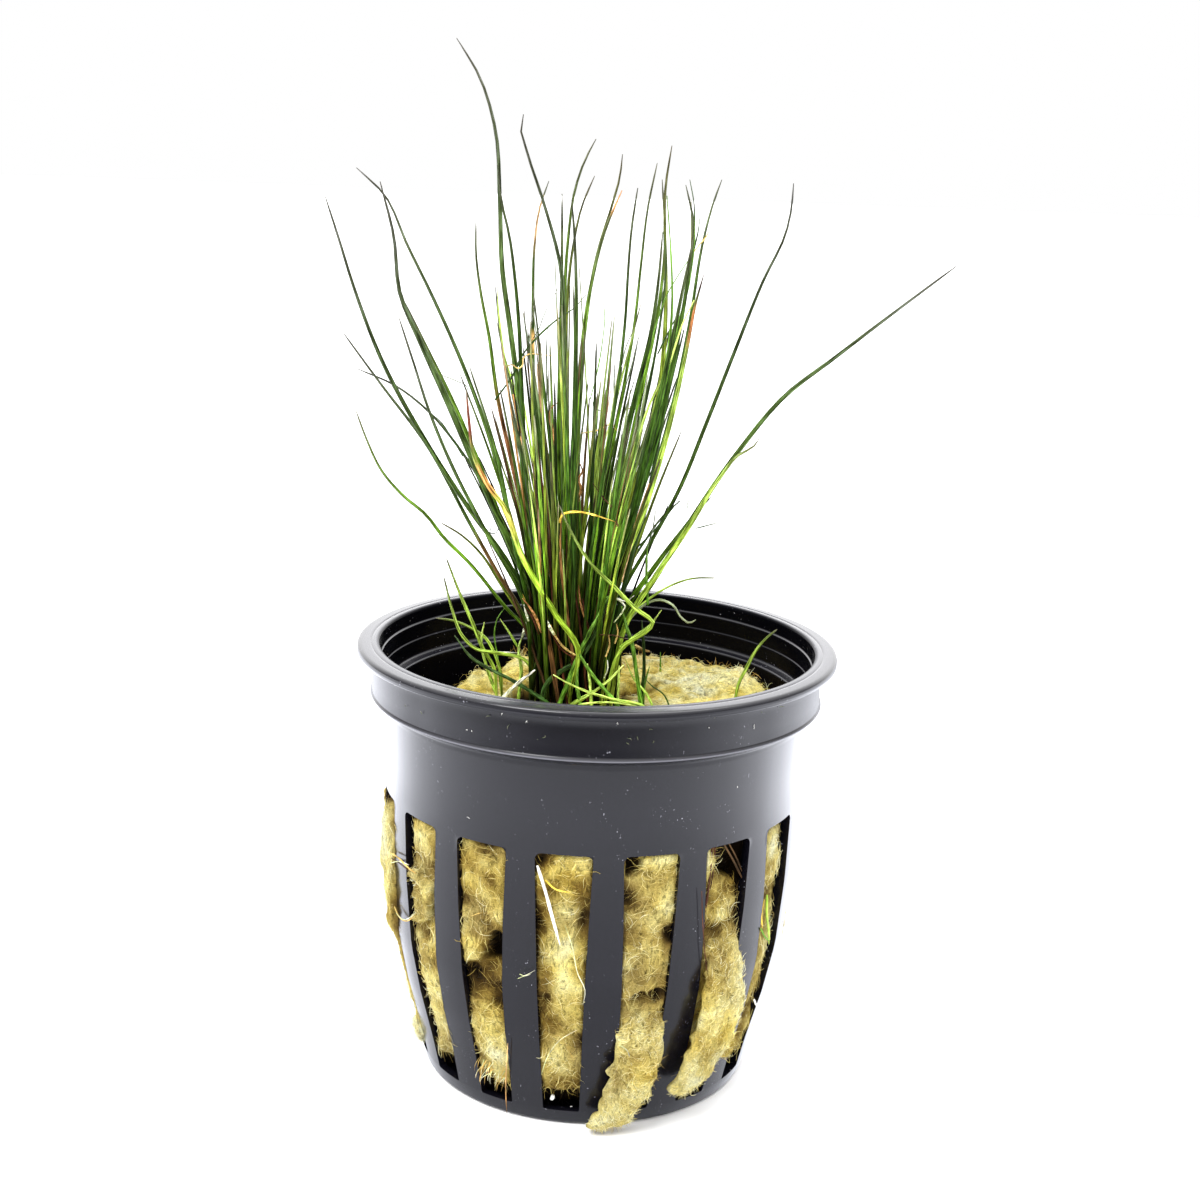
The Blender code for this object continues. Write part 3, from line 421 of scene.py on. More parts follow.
def make_pot():
    """The pot as a grid of quads whose columns follow the slots, with its edges bevelled."""
    rows = pot_rows()
    kinds = [row[3] for row in rows]
    rim = max(range(len(rows)), key=lambda row: rows[row][1])
    sector = BAR_COLUMNS + SLOT_COLUMNS
    columns = SLOT_COUNT * sector
    verts, tones = [], []
    for row, (radius, z, half, kind) in enumerate(rows):
        # Red and green of the tone mark the glossy outside; inside, apart from the steps, they are
        # 0, which paints the inner wall dark as shade.
        gloss_not_inner_shade = 1.0 if row <= rim else SHINY_STEPS.get(z, 0.0)
        tones += [(gloss_not_inner_shade, gloss_not_inner_shade, PAINTED_HIGHLIGHT_ROWS.get(z, 0.0))] * columns
        in_floor = kind in ("under", "over")
        for index in range(SLOT_COUNT):
            middle = FRONT_BAR_ANGLE + (index + 0.5) * SLOT_PITCH
            solid = in_floor and index % 2
            edge = math.asin((SLOT_HALF_FOOT * radius / FLOOR_EDGE if solid else half) / radius)
            beside = edge
            if in_floor:
                beside = math.asin(half / radius if solid else SLOT_HALF_FOOT / FLOOR_EDGE)
            for offset in (*np.linspace(-edge, edge, SLOT_COLUMNS + 1)[:-1],
                           *np.linspace(edge, SLOT_PITCH - beside, BAR_COLUMNS + 1)[:-1]):
                angle = middle + offset
                verts.append((radius * math.sin(angle), -radius * math.cos(angle), z))

    def is_open(row, column):
        index, place = divmod(column, sector)
        return (place < SLOT_COLUMNS and kinds[row] == kinds[(row + 1) % len(rows)]
                and (kinds[row] in ("out", "in") or kinds[row] != "" and index % 2 == 0))

    faces = [face for number, face in enumerate(ring_faces(1, len(rows), columns))
             if not is_open(*divmod(number, columns))]
    for outer, inner, step in (("out", "in", 1), ("under", "over", 2)):
        outside, inside = ([row for row, other in enumerate(kinds) if other == kind]
                           for kind in (outer, inner))
        walls = list(zip(outside, inside[::-1]))
        for left in range(0, columns, step * sector):
            right = left + SLOT_COLUMNS
            ring = [(pair, left) for pair in walls]
            ring += [(walls[-1], column) for column in range(left + 1, right + 1)]
            ring += [(pair, right) for pair in walls[-2::-1]]
            ring += [(walls[0], column) for column in range(right - 1, left, -1)]
            for ((o1, i1), c1), ((o2, i2), c2) in zip(ring, ring[1:] + ring[:1]):
                faces.append((o1 * columns + c1, o2 * columns + c2,
                              i2 * columns + c2, i1 * columns + c1))
    pot = add_piece("net_pot", verts, faces, pot_plastic(), tones)
    bevel = pot.modifiers.new("worn_edges", "BEVEL")
    bevel.width = 0.16 * MM
    bevel.segments = 2
    bevel.limit_method = "ANGLE"
    bevel.angle_limit = math.radians(55)
    pot.modifiers.new("even_shading", "WEIGHTED_NORMAL").keep_sharp = True
    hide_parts("pot")


# Rock wool

WOOL_TONES = ((0.0, (28, 20, 10)), (0.2, (78, 60, 28)), (0.4, (142, 117, 58)),
              (0.6, (202, 179, 97)), (0.8, (238, 223, 141)), (1.0, (252, 246, 192)))
# Sharp-edged hollows in the slots: slot, how far out, how much lighter (painted shade where it
# is below 0), softness of the edge, and corners (place across, height) that run anticlockwise
SLOT_HOLLOWS = (
    (14, -2.4, -0.9, 0.22, ((-0.1, 20.0), (1.2, 20.2), (1.2, 23.4), (0.42, 23.9))),
    (14, -0.7, -0.34, 0.3, ((-1.2, 14.6), (1.2, 14.6), (1.2, 20.4), (-0.1, 20.2), (-1.2, 18.0))),
    (0, -1.4, -0.75, 0.2, ((-0.8, 31.8), (-0.4, 31.8), (-0.35, 33.7), (-0.85, 33.8))),
    (1, -1.9, -0.9, 0.3, ((-0.5, 31.2), (1.2, 28.2), (1.2, 34.5), (-0.4, 34.5))),
    (1, -0.3, 0.0, 0.4, ((-0.7, 24.6), (1.2, 24.6), (1.2, 30.0), (-0.6, 31.4))),
    (13, -2.0, -0.9, 0.2, ((-1.3, 30.0), (-0.85, 30.0), (-0.75, 34.0), (-1.3, 34.0))),
)
# Soft lumps and hollows in the slots: slot, place across (-1 to 1), height, reach across, reach
# up and down, how far out (- is a hollow), and how much lighter (- is darker): painted shade in
# the hollows, painted light on lumps and strips, and the wool's own tone in the rest
SLOT_MARKS = (
    (14, -0.35, 22.3, 0.9, 2.8, 0.35, 0.05), (14, -0.7, 18.2, 0.9, 0.4, -0.7, -0.3),
    (14, 0.1, 9.8, 2.6, 3.6, 0.4, 0.28), (13, 0.2, 20.0, 3.0, 12.0, 0.0, 0.08),
    (14, 0.2, 25.0, 2.4, 0.45, -0.3, -0.2), (14, 0.0, 29.0, 2.6, 2.6, 0.2, 0.1),
    (15, -0.85, 26.2, 0.8, 2.0, -0.7, -0.42), (15, 0.78, 26.2, 0.7, 1.8, -0.8, -0.42),
    (15, -0.65, 16.3, 1.0, 1.8, -0.8, -0.4), (15, 0.25, 21.0, 1.8, 4.0, 0.3, 0.12),
    (15, -0.8, 33.0, 0.7, 0.8, -0.7, -0.4), (15, 0.1, 9.5, 1.8, 2.5, 0.2, 0.08),
    (0, -0.85, 29.8, 0.8, 1.6, -0.3, -0.3), (0, 0.1, 25.0, 2.6, 8.0, 0.0, 0.12),
    (0, 0.82, 24.8, 0.8, 1.9, -0.6, -0.36), (0, -0.15, 16.9, 0.75, 0.7, -1.3, -0.5),
    (0, 0.66, 17.2, 0.75, 0.6, -1.3, -0.55), (0, 0.1, 22.0, 2.2, 1.8, 0.4, 0.12),
    (0, -0.9, 13.6, 0.6, 0.9, -0.8, -0.45), (0, 0.1, 19.4, 3.0, 0.8, -0.2, -0.16),
    (1, -0.9, 31.0, 0.45, 3.6, 0.4, 0.3), (1, 0.95, 27.0, 0.6, 4.5, -0.8, -0.35),
    (1, -0.1, 27.0, 2.0, 2.6, 0.2, 0.12), (1, -0.2, 24.2, 2.0, 0.6, -0.7, -0.4),
    (2, 0.75, 30.0, 0.9, 4.4, -1.6, -0.7), (2, -0.1, 25.0, 1.3, 1.0, -1.0, -0.5),
    (2, 0.9, 20.0, 0.8, 5.0, -1.2, -0.5), (2, 0.2, 11.0, 1.4, 1.6, -1.2, -0.5),
    (2, -0.3, 18.0, 1.0, 3.0, 0.4, 0.15), (2, -0.2, 31.0, 1.4, 3.0, 0.4, 0.25),
    (13, 0.75, 24.0, 0.7, 2.0, -0.9, -0.5), (13, 0.05, 24.0, 0.9, 1.5, -1.3, -0.6),
    (13, -0.1, 20.4, 1.6, 0.9, -0.6, -0.34), (13, -0.85, 31.0, 0.7, 3.2, -1.5, -0.5),
    (13, 0.3, 31.0, 1.2, 2.0, 0.3, 0.2), (13, -0.9, 12.0, 0.8, 8.0, -1.2, -0.4),
    (12, 0.2, 34.0, 4.0, 1.5, -2.6, -0.9), (11, 0.2, 34.0, 4.0, 1.5, -2.6, -0.9),
    (12, 0.9, 14.0, 0.8, 5.0, -1.0, -0.4),
    (12, 0.0, 24.0, 4.0, 9.0, 0.0, 0.3), (11, 0.0, 24.0, 4.0, 9.0, 0.0, 0.3),
    (2, 0.6, 27.0, 2.0, 8.0, 0.0, 0.12),
)


def wool_inset(angle, z):
    side = np.maximum(0.0, np.cos(angle - WOOL_INSET_ANGLE)) ** 0.7
    return WOOL_INSET * side * np.maximum(0.0, z - SLOT_TOP) / (43.8 - SLOT_TOP)


def slot_place(angle):
    """Slot that an angle falls in, and the angle from that slot's middle."""
    turn = (angle - FRONT_BAR_ANGLE) / SLOT_PITCH
    index = np.floor(turn).astype(int) % SLOT_COUNT
    return index, (turn - np.floor(turn) - 0.5) * SLOT_PITCH


def wool_side(angle, z):
    """Radius of the wool's side, how open the wall is there, and how much lighter it is, with
    painted shade in hollows and painted light on bulges.
    """
    inside = read(INSIDE, z)
    index, offset = slot_place(angle)
    across = offset * inside
    half = slot_half(z)
    depth = np.minimum(half - np.abs(across), SLOT_TOP - z)
    spot = np.stack((inside * np.sin(angle), -inside * np.cos(angle), z), axis=-1)
    clear = smoothstep(-0.5, 0.3 + 0.2 * noise(spot, 1.6, 10), depth)
    relief = 0.3 * noise(spot, 1.7, 2) + 0.2 * noise(spot, 0.9, 7)
    bulge = 1.1 + 0.35 * noise(spot, 4.2, 1) + relief
    # Half the relief goes into the lightness, as painted light on bulges and painted shade in
    # dips.
    lighter = 0.17 * noise(spot, 5.0, 3) + 0.22 * noise(spot, 2.0, 4) + 0.5 * relief
    foot = smoothstep(4.9, 3.7, z + 1.1 * noise(spot, 2.0, 5))
    bulge = bulge - 2.6 * foot
    # The darkening at the foot is painted shade in the gap below the wool.
    lighter = lighter - 0.6 * foot
    ragged_across, ragged_up = 0.45 * noise(spot, 1.1, 22), 0.7 * noise(spot, 1.3, 23)
    for slot, place, height, reach, rise, out, light in SLOT_MARKS:
        aside = (across - place * half + ragged_across) / reach
        above = (z - height + ragged_up) / rise
        weight = np.exp(-(aside ** 2 + above ** 2)) * (index == slot)
        bulge = bulge + out * weight
        lighter = lighter + light * weight
    wobble = 0.3 * noise(spot, 1.4, 17)
    for slot, out, light, soft, corners in SLOT_HOLLOWS:
        within = np.full(np.shape(across), 9.0)
        for (a1, z1), (a2, z2) in zip(corners, corners[1:] + corners[:1]):
            run, rise = (a2 - a1) * half, z2 - z1
            aside, above = across - a1 * half, z - z1
            within = np.minimum(within, (run * above - rise * aside) / np.hypot(run, rise))
        weight = smoothstep(-soft, soft, within + wobble) * (index == slot)
        bulge = bulge + out * weight
        lighter = lighter + light * weight
    left = np.isin(index, (11, 12)) * smoothstep(15.0, 19.0, z) * smoothstep(33.6, 31.0, z)
    bulge = bulge + left * (0.9 + 0.4 * noise(spot, 3.0, 6))
    limit = 1.35 + 1.2 * left
    fine = 0.13 * noise(spot, 0.65, 8)
    out = clear * (np.minimum(bulge, limit) + fine) - 0.45
    above_slots = smoothstep(SLOT_TOP, SLOT_TOP + 2.0, z)
    radius = inside + out - wool_inset(angle, z)
    radius = radius + above_slots * (0.4 * noise(spot, 2.5, 9) - 0.3)
    shadow = smoothstep(0.5, -0.1, depth)
    return radius, clear, lighter - 0.25 * shadow


def wool_colour(points, lights):
    """Colours of the wool, which turns more golden or greyer from place to place."""
    tones = ramp(np.clip(0.58 + lights, 0.0, 1.0), WOOL_TONES)
    golden = noise(points, 4.5, 18) + 0.5 * noise(points, 1.6, 19)
    golden = golden + 0.5 * smoothstep(41.5, 43.0, points[:, 2])
    return tones * np.stack((1 + 0.03 * golden, 1 - 0.03 * golden, 1 - 0.34 * golden), axis=-1)


# Mounds and hollows of the wool's top: place, reach, and rise (- is a hollow)
MOUNDS = ((12.5, 11.0, 5.5, 0.7), (6.0, 13.0, 4.0, 0.3), (-10.0, 14.5, 3.4, 1.5),
          (-14.0, 6.5, 2.6, 1.1), (9.0, -6.0, 5.0, 0.3), (17.5, 8.0, 4.2, 1.5),
          (-13.0, 11.5, 1.9, -1.8), (5.6, 6.5, 1.1, -2.2), (4.0, 5.0, 1.2, -2.8),
          (13.5, 2.5, 1.6, -0.7))


def wool_top(x, y):
    """Height of the wool's top, and how far into the tuft's well each place is."""
    spot = np.stack((x, y, np.zeros_like(x)), axis=-1)
    height = 43.7 + 0.5 * noise(spot, 6.5, 11) + 0.55 * noise(spot, 2.6, 12)
    height = height + 0.36 * noise(spot, 1.2, 13) + 0.22 * noise(spot, 0.6, 14)
    for mound_x, mound_y, reach, rise in MOUNDS:
        away = ((x - mound_x) ** 2 + (y - mound_y) ** 2) / reach ** 2
        height = height + rise * np.exp(-away)
    from_well = np.hypot(x - WELL_CENTRE[0], y - WELL_CENTRE[1])
    sunk = smoothstep(WELL_RADIUS + 0.5, WELL_RADIUS - 0.9, from_well)
    height = np.minimum(height, 46.0)
    return height + (WELL_FLOOR - height) * sunk, sunk


def make_wool():
    """The wool's side and top as one closed mesh, with its tones; returns where fibres root."""
    columns, levels, rings = 440, 118, 56
    angle = np.arange(columns) * 2 * math.pi / columns
    heights = np.linspace(1.7, 42.0, levels)
    grid_angle, grid_z = np.meshgrid(angle, heights)
    radius, clear, lighter = wool_side(grid_angle, grid_z)
    side = np.stack((radius * np.sin(grid_angle), -radius * np.cos(grid_angle), grid_z), axis=-1)
    shares = np.linspace(1.0, 0.02, rings + 1)[1:]
    rim = radius[-1] + 0.2
    top_radius = rim[None, :] * shares[:, None]
    top_angle = np.broadcast_to(angle, top_radius.shape)
    x, y = top_radius * np.sin(top_angle), -top_radius * np.cos(top_angle)
    height, sunk = wool_top(x, y)
    edge = smoothstep(0.0, 2.6, rim[None, :] - top_radius)
    z = 42.0 + (height - 42.0) * edge
    top = np.stack((x, y, z), axis=-1)
    light_top = 0.24 + 0.1 * noise(top, 4.0, 15) + 0.24 * noise(top, 1.1, 16)
    # Higher mounds are painted lighter as light; holes, the tuft's well and the ring by the wall
    # are painted darker as shade.
    light_top = light_top + 0.2 * noise(top, 0.6, 20) + 0.2 * (height - 43.9) * (1.0 - sunk)
    hole = np.minimum(height - 43.0, 0.0) * (1.0 - sunk)
    light_top = light_top + 0.5 * hole - 0.7 * sunk - 0.5 * (1.0 - edge)
    verts = np.concatenate((side.reshape(-1, 3), top.reshape(-1, 3)))
    lights = np.concatenate((lighter.ravel(), light_top.ravel()))
    wool = add_piece("rock_wool_block", verts, ring_faces(1, levels + rings, columns),
                     wool_fibre(), wool_colour(verts, lights))
    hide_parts("rock_wool")
    outward = np.stack((np.sin(grid_angle), -np.cos(grid_angle), np.zeros_like(grid_z)), axis=-1)
    side_roots = (side[clear > 0.35], outward[clear > 0.35], lighter[clear > 0.35])
    on_top = (sunk < 0.3) & (edge > 0.2)
    upward = np.broadcast_to((0.0, 0.0, 1.0), top.shape)
    weight = top_radius[on_top] / top_radius.max()
    return side_roots, (top[on_top], upward[on_top], light_top[on_top], weight)


def fibre_paths(rng, roots, normals, lengths, lift, steps=5):
    """Curved fibres that lie on the wool in swirls and rise a little from it."""
    helper = np.where(np.abs(normals[:, 2:]) > 0.7, (1.0, 0.0, 0.0), (0.0, 0.0, 1.0))
    first = np.cross(helper, normals)
    first /= np.linalg.norm(first, axis=1, keepdims=True)
    second = np.cross(normals, first)
    swirl = 2.6 * math.pi * noise(roots, 5.0, 21) + rng.normal(0.0, 0.7, len(roots))
    along = np.cos(swirl)[:, None] * first + np.sin(swirl)[:, None] * second
    aside = np.cross(normals, along)
    share = np.linspace(0.0, 1.0, steps)[None, :, None]
    bend = rng.normal(0.0, 0.45, len(roots))[:, None, None]
    length = lengths[:, None, None]
    rise = (lift * rng.uniform(0.2, 1.0, len(roots)))[:, None, None]
    path = roots[:, None, :] + along[:, None, :] * length * (share - 0.5)
    path = path + aside[:, None, :] * length * bend * (share - 0.5) ** 2 * 2.0
    return path + normals[:, None, :] * (rise * np.sin(math.pi * share * 0.92) - 0.05)


def make_fibres(name, rng, count, places, lengths, lift, material):
    """Fibres at some of the places: points, normals, lightness and, if given, their weights."""
    roots, normals, lights, *weights = places
    chance = weights[0] / weights[0].sum() if weights else None
    chosen = rng.choice(len(roots), count, p=chance)
    jitter = rng.normal(0.0, 0.1, (count, 3))
    lifts = lift * np.where(rng.random(count) < 0.1, 3.6, 1.0)
    paths = fibre_paths(rng, roots[chosen] + jitter, normals[chosen],
                        rng.uniform(*lengths, count), lifts)
    thick = rng.uniform(0.012, 0.028, count)[:, None]
    shape = np.interp(np.linspace(0, 1, paths.shape[1]), (0, 0.3, 0.7, 1), (0.4, 1, 0.9, 0.25))
    verts, faces = tubes(paths, thick * shape[None, :], 3)
    light = lights[chosen] + rng.normal(0.05, 0.2, count)
    tones = np.repeat(wool_colour(roots[chosen], light), paths.shape[1] * 3, axis=0)
    add_piece(name, verts, faces, material, tones)


# Tongues of wool out of two slots: angle, radius, height, half width, half thickness
TONGUES = {
    "wool_tongue_front": ((16.4, 21.6, 17.0, 2.0, 0.4), (16.2, 22.0, 14.5, 2.5, 0.5),
                          (15.8, 22.5, 11.5, 2.75, 0.65), (14.6, 22.5, 8.0, 2.85, 0.75),
                          (12.2, 21.9, 4.6, 2.6, 0.85), (9.4, 21.4, 2.1, 2.4, 0.9),
                          (7.6, 20.9, 0.75, 2.1, 0.6)),
    "wool_tongue_right": ((38.2, 22.4, 23.4, 2.0, 0.4), (38.4, 23.2, 22.2, 2.5, 0.6),
                          (38.6, 24.0, 20.3, 2.75, 0.8), (38.2, 24.5, 16.0, 2.8, 0.9),
                          (36.6, 23.6, 11.0, 2.8, 0.85), (33.8, 22.6, 7.0, 2.5, 0.8),
                          (30.3, 21.8, 4.2, 1.7, 0.55)),
}
STATION = np.array((0.1, -200.6, 105.3))
# Rolls of wool that stand out of the slots. The points are where they are seen on the upright
# plane through the pot's axis; then how far they stand off the wall, their radii, and lightness
ROLLS = {
    "wool_roll_left": (((-21.5, 21.7), (-20.2, 20.9), (-19.2, 19.7), (-19.0, 17.6),
                        (-19.8, 15.9), (-21.1, 15.7)), (0.6, 0.8, 0.8, 0.8, 0.8, 0.7),
                       (0.4, 0.7, 0.8, 0.7, 0.5, 0.3), 0.05),
    "wool_tuft_low_left": (((-20.6, 2.9), (-20.0, 1.1), (-19.6, -0.3)), (1.0, 1.1, 0.9),
                           (0.35, 0.5, 0.3), 0.3),
    "wool_tuft_low_right": (((17.3, 1.9), (17.4, 0.4), (16.9, -0.8)), (0.5, 0.8, 0.6),
                            (0.7, 0.9, 0.6), 0.1),
}
# Strands on the wool: kind, radius, how far they stand off the wall, and points as above
WOOL_STRANDS = (
    ("white", 0.23, 1.5, -6.2, 22.9, -5.2, 19.8, -4.3, 16.6, -3.2, 12.8),
    ("gold", 0.12, 1.5, -5.2, 21.1, -4, 20, -2.2, 19.6),
    ("cream", 0.05, 1.6, -2.7, 15.4, -1.8, 12.9, -0.9, 9, 0, 7, -0.2, 5),
    ("cream", 0.03, 1.7, -8.2, 8.2, -7.2, 8.7, -6.1, 9.4),
    ("cream", 0.03, 1.7, -8, 8.8, -7.3, 8.6, -6.6, 8.9),
    ("tan", 0.08, 1.5, -9.2, -0.4, -9.3, -4, -9.3, -7, -9.1, -9.9),
    ("rust", 0.16, 0.8, 14.5, 26.9, 14.4, 23.8, 14.3, 21.2, 14.1, 18.8, 14, 15.4),
    ("rust", 0.12, 0.7, 14.7, 27.2, 14.8, 24.2, 14.5, 20.6),
    ("brown", 0.14, 0.4, 15.5, 27, 16.9, 24.7, 18.4, 21.9),
    ("brown", 0.12, 0.3, 16, 27.3, 17.4, 24.8, 18.2, 23),
    ("rust", 0.07, 1.7, 13.5, 20.4, 13.8, 16.5, 14.4, 11.5, 15.1, 7.6),
    ("brown", 0.08, 2.9, 14.1, 3.6, 15.6, 3.5, 16.7, 3.1, 17.7, 4.1),
    ("brown", 0.08, 2.8, 16.9, 3, 15.7, 0.9, 15, -0.6, 14.8, -2.1),
    ("cream", 0.07, 2.3, 4.4, -0.1, 5.3, -0.7, 5.8, -1.8),
    ("cream", 0.06, 2.3, 5.5, -2.4, 5.7, -3.8, 5.5, -5.3, 4.9, -6.8),
    ("light", 0.2, 0.9, 21.3, 20.2, 21.4, 17.9, 21.8, 15.2, 21.9, 13.9),
    ("gold", 0.1, 1, 21, 19.6, 20.8, 17.5, 21, 15.9),
    ("green", 0.15, 1.2, 20.8, 15.9, 21.3, 14.9, 21.9, 14.3),
    ("white", 0.15, 1.1, 20.5, 6.6, 20.8, 5.8),
    ("straw", 0.04, 1.5, -4.2, 0.2, -3.1, 0.9, -2.1, -0.4, -1, -2.6),
    ("cream", 0.04, 1.5, -5, -4.5, -4.2, -1.8, -2.8, 0.3, -0.8, 1.7),
    ("straw", 0.03, 1.5, -14.1, 16.1, -12.7, 16.6, -11.2, 16.5),
    ("green", 0.1, 2.6, 2.6, -7.4, 2.5, -8.8, 2.4, -10.2),
    ("straw", 0.12, 1.7, -23.8, 23.9, -22.7, 23.2, -21.4, 21.9, -20.6, 21.3),
    ("brown", 0.1, 1.6, -23.6, 23.2, -22.5, 22.5, -21.3, 21.5),
    ("cream", 0.06, 1.7, -23.6, 22.6, -22.6, 22.8, -21.5, 22.4),
    ("straw", 0.1, 1.5, -23.2, 17, -22.6, 15.7, -21.7, 15.2, -20.9, 15.8),
    ("cream", 0.05, 1.6, -23, 16.2, -22.2, 15.4, -21.4, 15.6, -20.6, 16.4),
    ("white", 0.45, 0.2, -3.75, -7.4, -3.3, -7.6), ("grey", 0.3, -0.1, -4.4, -9.2, -4, -9.3),
    ("grey", 0.35, -0.2, -2.8, -9.3, -2.3, -9.2), ("white", 0.25, -0.1, -1.3, -8.9, -1, -8.8),
)
# Bits of lint on the pot: where they are seen, and how far they stand off the inside of the wall
LINT = {
    2.44: (-22, 42.1, -14.3, 39.3, -15, 39.5, -6.5, 38.7, -6.1, 38.9, -20.1, 41.3, -9.9, 40.4,
           -8, 40.7, -23.3, 44.8, -17.7, 42.9, -12.1, 41.3, -10.9, 41.5, 14.1, 42.3, 13.4, 40.9,
           19.5, 42.9, 18.6, 41.5, 3.9, 39.2, 3.8, 38.7, 2.8, 40.9, 21.4, 43.6, 6.8, 40.4, 5,
           39.5, 6.9, 38.7),
    0.97: (6.5, 35.2, 8.8, 35.6, 3.8, 34.8, 7.3, 34.9, 14.8, 33.6, 17, 33.9, 3.2, 34.7, 6, 34.8,
           6.2, 29.5, -14.2, 28.7, -10, 32.3),
}


def pairs(values):
    return list(zip(values[::2], values[1::2]))


def seen_at(x, z, depth):
    """Point at a depth y on the camera's line through (x, z) of the plane y = 0."""
    share = 1.0 - depth / STATION[1]
    return STATION + share * (np.array((x, 0.0, z)) - STATION)


# How near the pot's side a point may come where its line just misses the wall
LEAST_DEPTH = -5.0


def on_wall(x, z, stand_off):
    """Point of that line that stands off the inside of the pot's wall."""
    depth = -22.0
    for _ in range(40):
        spot = seen_at(x, z, depth)
        radius = read(INSIDE, spot[2]) + stand_off
        depth = 0.5 * depth - 0.5 * math.sqrt(max(radius ** 2 - spot[0] ** 2, 0.0))
        depth = min(depth, LEAST_DEPTH)
    return seen_at(x, z, depth)


def make_rolls():
    """Lumpy rolls of wool, and where their fibres root."""
    sides, steps = 18, 48
    found = []
    for number, (name, (points, stand_offs, radii, lighter)) in enumerate(ROLLS.items()):
        spots = [on_wall(x, z, off) for (x, z), off in zip(points, stand_offs)]
        path = smooth_path(spots, steps)
        share = np.linspace(0, 1, steps)
        width = np.interp(share, np.linspace(0, 1, len(radii)), radii)
        width = width * np.sqrt(np.clip(np.minimum(share, 1 - share) * 12, 0.02, 1))
        verts, faces = tubes(path[None], width[None], sides)
        axis = np.repeat(path, sides, axis=0)
        outward = verts - axis
        size = np.linalg.norm(outward, axis=1, keepdims=True)
        outward = outward / np.maximum(size, 1e-6)
        lump = 0.35 * noise(verts, 1.5, 61 + number) + 0.3 * noise(verts, 0.5, 66)
        verts = verts + outward * size * lump[:, None]
        # Lumps are painted lighter, as light on bulges.
        lights = lighter + 0.4 * lump + 0.16 * noise(verts, 1.8, 67)
        tones = wool_colour(verts, lights)
        add_piece(name, verts, faces, bpy.data.materials["rock_wool_matted"], tones)
        keep = np.repeat(width, sides) > 0.35
        found.append((verts[keep], outward[keep], lights[keep]))
    return [np.concatenate(parts) for parts in zip(*found)]


def make_tongues():
    """Each tongue as a lumpy flat loft with a ragged end."""
    sides, steps = 40, 56
    found = []
    for number, (name, stations) in enumerate(TONGUES.items()):
        path = smooth_path([(math.radians(a) * 20, r, z) for a, r, z, _, _ in stations], steps)
        shares = np.linspace(0, 1, len(stations))
        grid = np.linspace(0, 1, steps)
        half_width = np.interp(grid, shares, [station[3] for station in stations])
        half_thick = np.interp(grid, shares, [station[4] for station in stations])
        closing = np.sqrt(np.clip(1 - np.clip(np.abs(grid - 0.5) * 2 - 0.93, 0, 1) / 0.073, 0, 1))
        turn = 2 * math.pi * np.arange(sides) / sides
        angle = path[:, :1] / 20 + (half_width * closing)[:, None] * np.cos(turn) / path[:, 1:2]
        ring = np.sign(np.sin(turn)) * np.abs(np.sin(turn)) ** 0.7
        radius = path[:, 1:2] + (half_thick * closing)[:, None] * ring
        z = np.broadcast_to(path[:, 2:3], radius.shape)
        verts = np.stack((radius * np.sin(angle), -radius * np.cos(angle), z), axis=-1)
        outward = np.stack((np.sin(angle), -np.cos(angle), np.zeros_like(angle)), axis=-1)
        lump = 0.42 * noise(verts, 2.4, 31 + number) + 0.2 * noise(verts, 0.9, 33)
        face = (np.sin(turn) > -0.2)[None, :] * np.ones_like(angle)
        edge = np.abs(np.cos(turn))[None, :]
        sideways = np.stack((np.cos(angle), np.sin(angle), np.zeros_like(angle)), axis=-1)
        verts = verts + outward * (lump * face)[..., None]
        verts = verts + sideways * (0.5 * noise(verts, 1.1, 35) * edge)[..., None]
        verts[..., 2] += 0.35 * noise(verts, 0.9, 36) * (grid[:, None] > 0.08)
        verts[..., 2] = np.maximum(verts[..., 2], 0.12)
        # The tongue is darker towards its top; its lumps are painted lighter and its side against
        # the wall painted darker, as light and shade.
        lights = 0.16 * smoothstep(0.1, 0.4, grid)[:, None] + 0.2 * noise(verts, 2.2, 37)
        lights = lights + 0.12 * noise(verts, 0.8, 38) + 0.3 * lump - 0.25 * (1 - face)
        # The rings run from the top down, so the faces are turned round
        faces = [[face[0], *face[:0:-1]] if len(face) == 4 else face[::-1]
                 for face in ring_faces(1, steps, sides)]
        flat = verts.reshape(-1, 3)
        tones = wool_colour(flat, lights.ravel())
        add_piece(name, flat, faces, bpy.data.materials["rock_wool_matted"], tones)
        open_side = ((face > 0) & (edge < 0.85)).ravel()
        found.append((flat[open_side], outward.reshape(-1, 3)[open_side],
                      lights.ravel()[open_side]))
    return [np.concatenate(parts) for parts in zip(*found)]


# Leaves

LEAF_TONES = {
    "grey": ((0.0, (50, 58, 18)), (0.2, (62, 88, 22)), (0.45, (66, 90, 30)),
             (0.75, (62, 76, 40)), (1.0, (74, 72, 60))),
    "deep": ((0.0, (42, 46, 14)), (0.12, (42, 62, 16)), (0.5, (54, 86, 20)),
             (0.8, (52, 73, 22)), (1.0, (74, 76, 54))),
    "mid": ((0.0, (74, 76, 24)), (0.15, (72, 98, 20)), (0.55, (94, 133, 28)),
            (0.8, (77, 101, 32)), (1.0, (84, 82, 60))),
    "olive": ((0.0, (84, 74, 26)), (0.2, (96, 102, 28)), (0.6, (114, 133, 36)),
              (0.85, (88, 97, 40)), (1.0, (88, 82, 58))),
    "bright": ((0.0, (144, 154, 56)), (0.2, (148, 178, 56)), (0.6, (162, 192, 70)),
               (0.9, (112, 130, 58)), (1.0, (100, 96, 70))),
    "brown": ((0.0, (60, 44, 24)), (0.3, (96, 68, 36)), (0.7, (134, 98, 50)),
              (1.0, (96, 82, 58))),
    "pale": ((0.0, (222, 230, 190)), (0.5, (200, 220, 150)), (1.0, (196, 208, 160))),
}
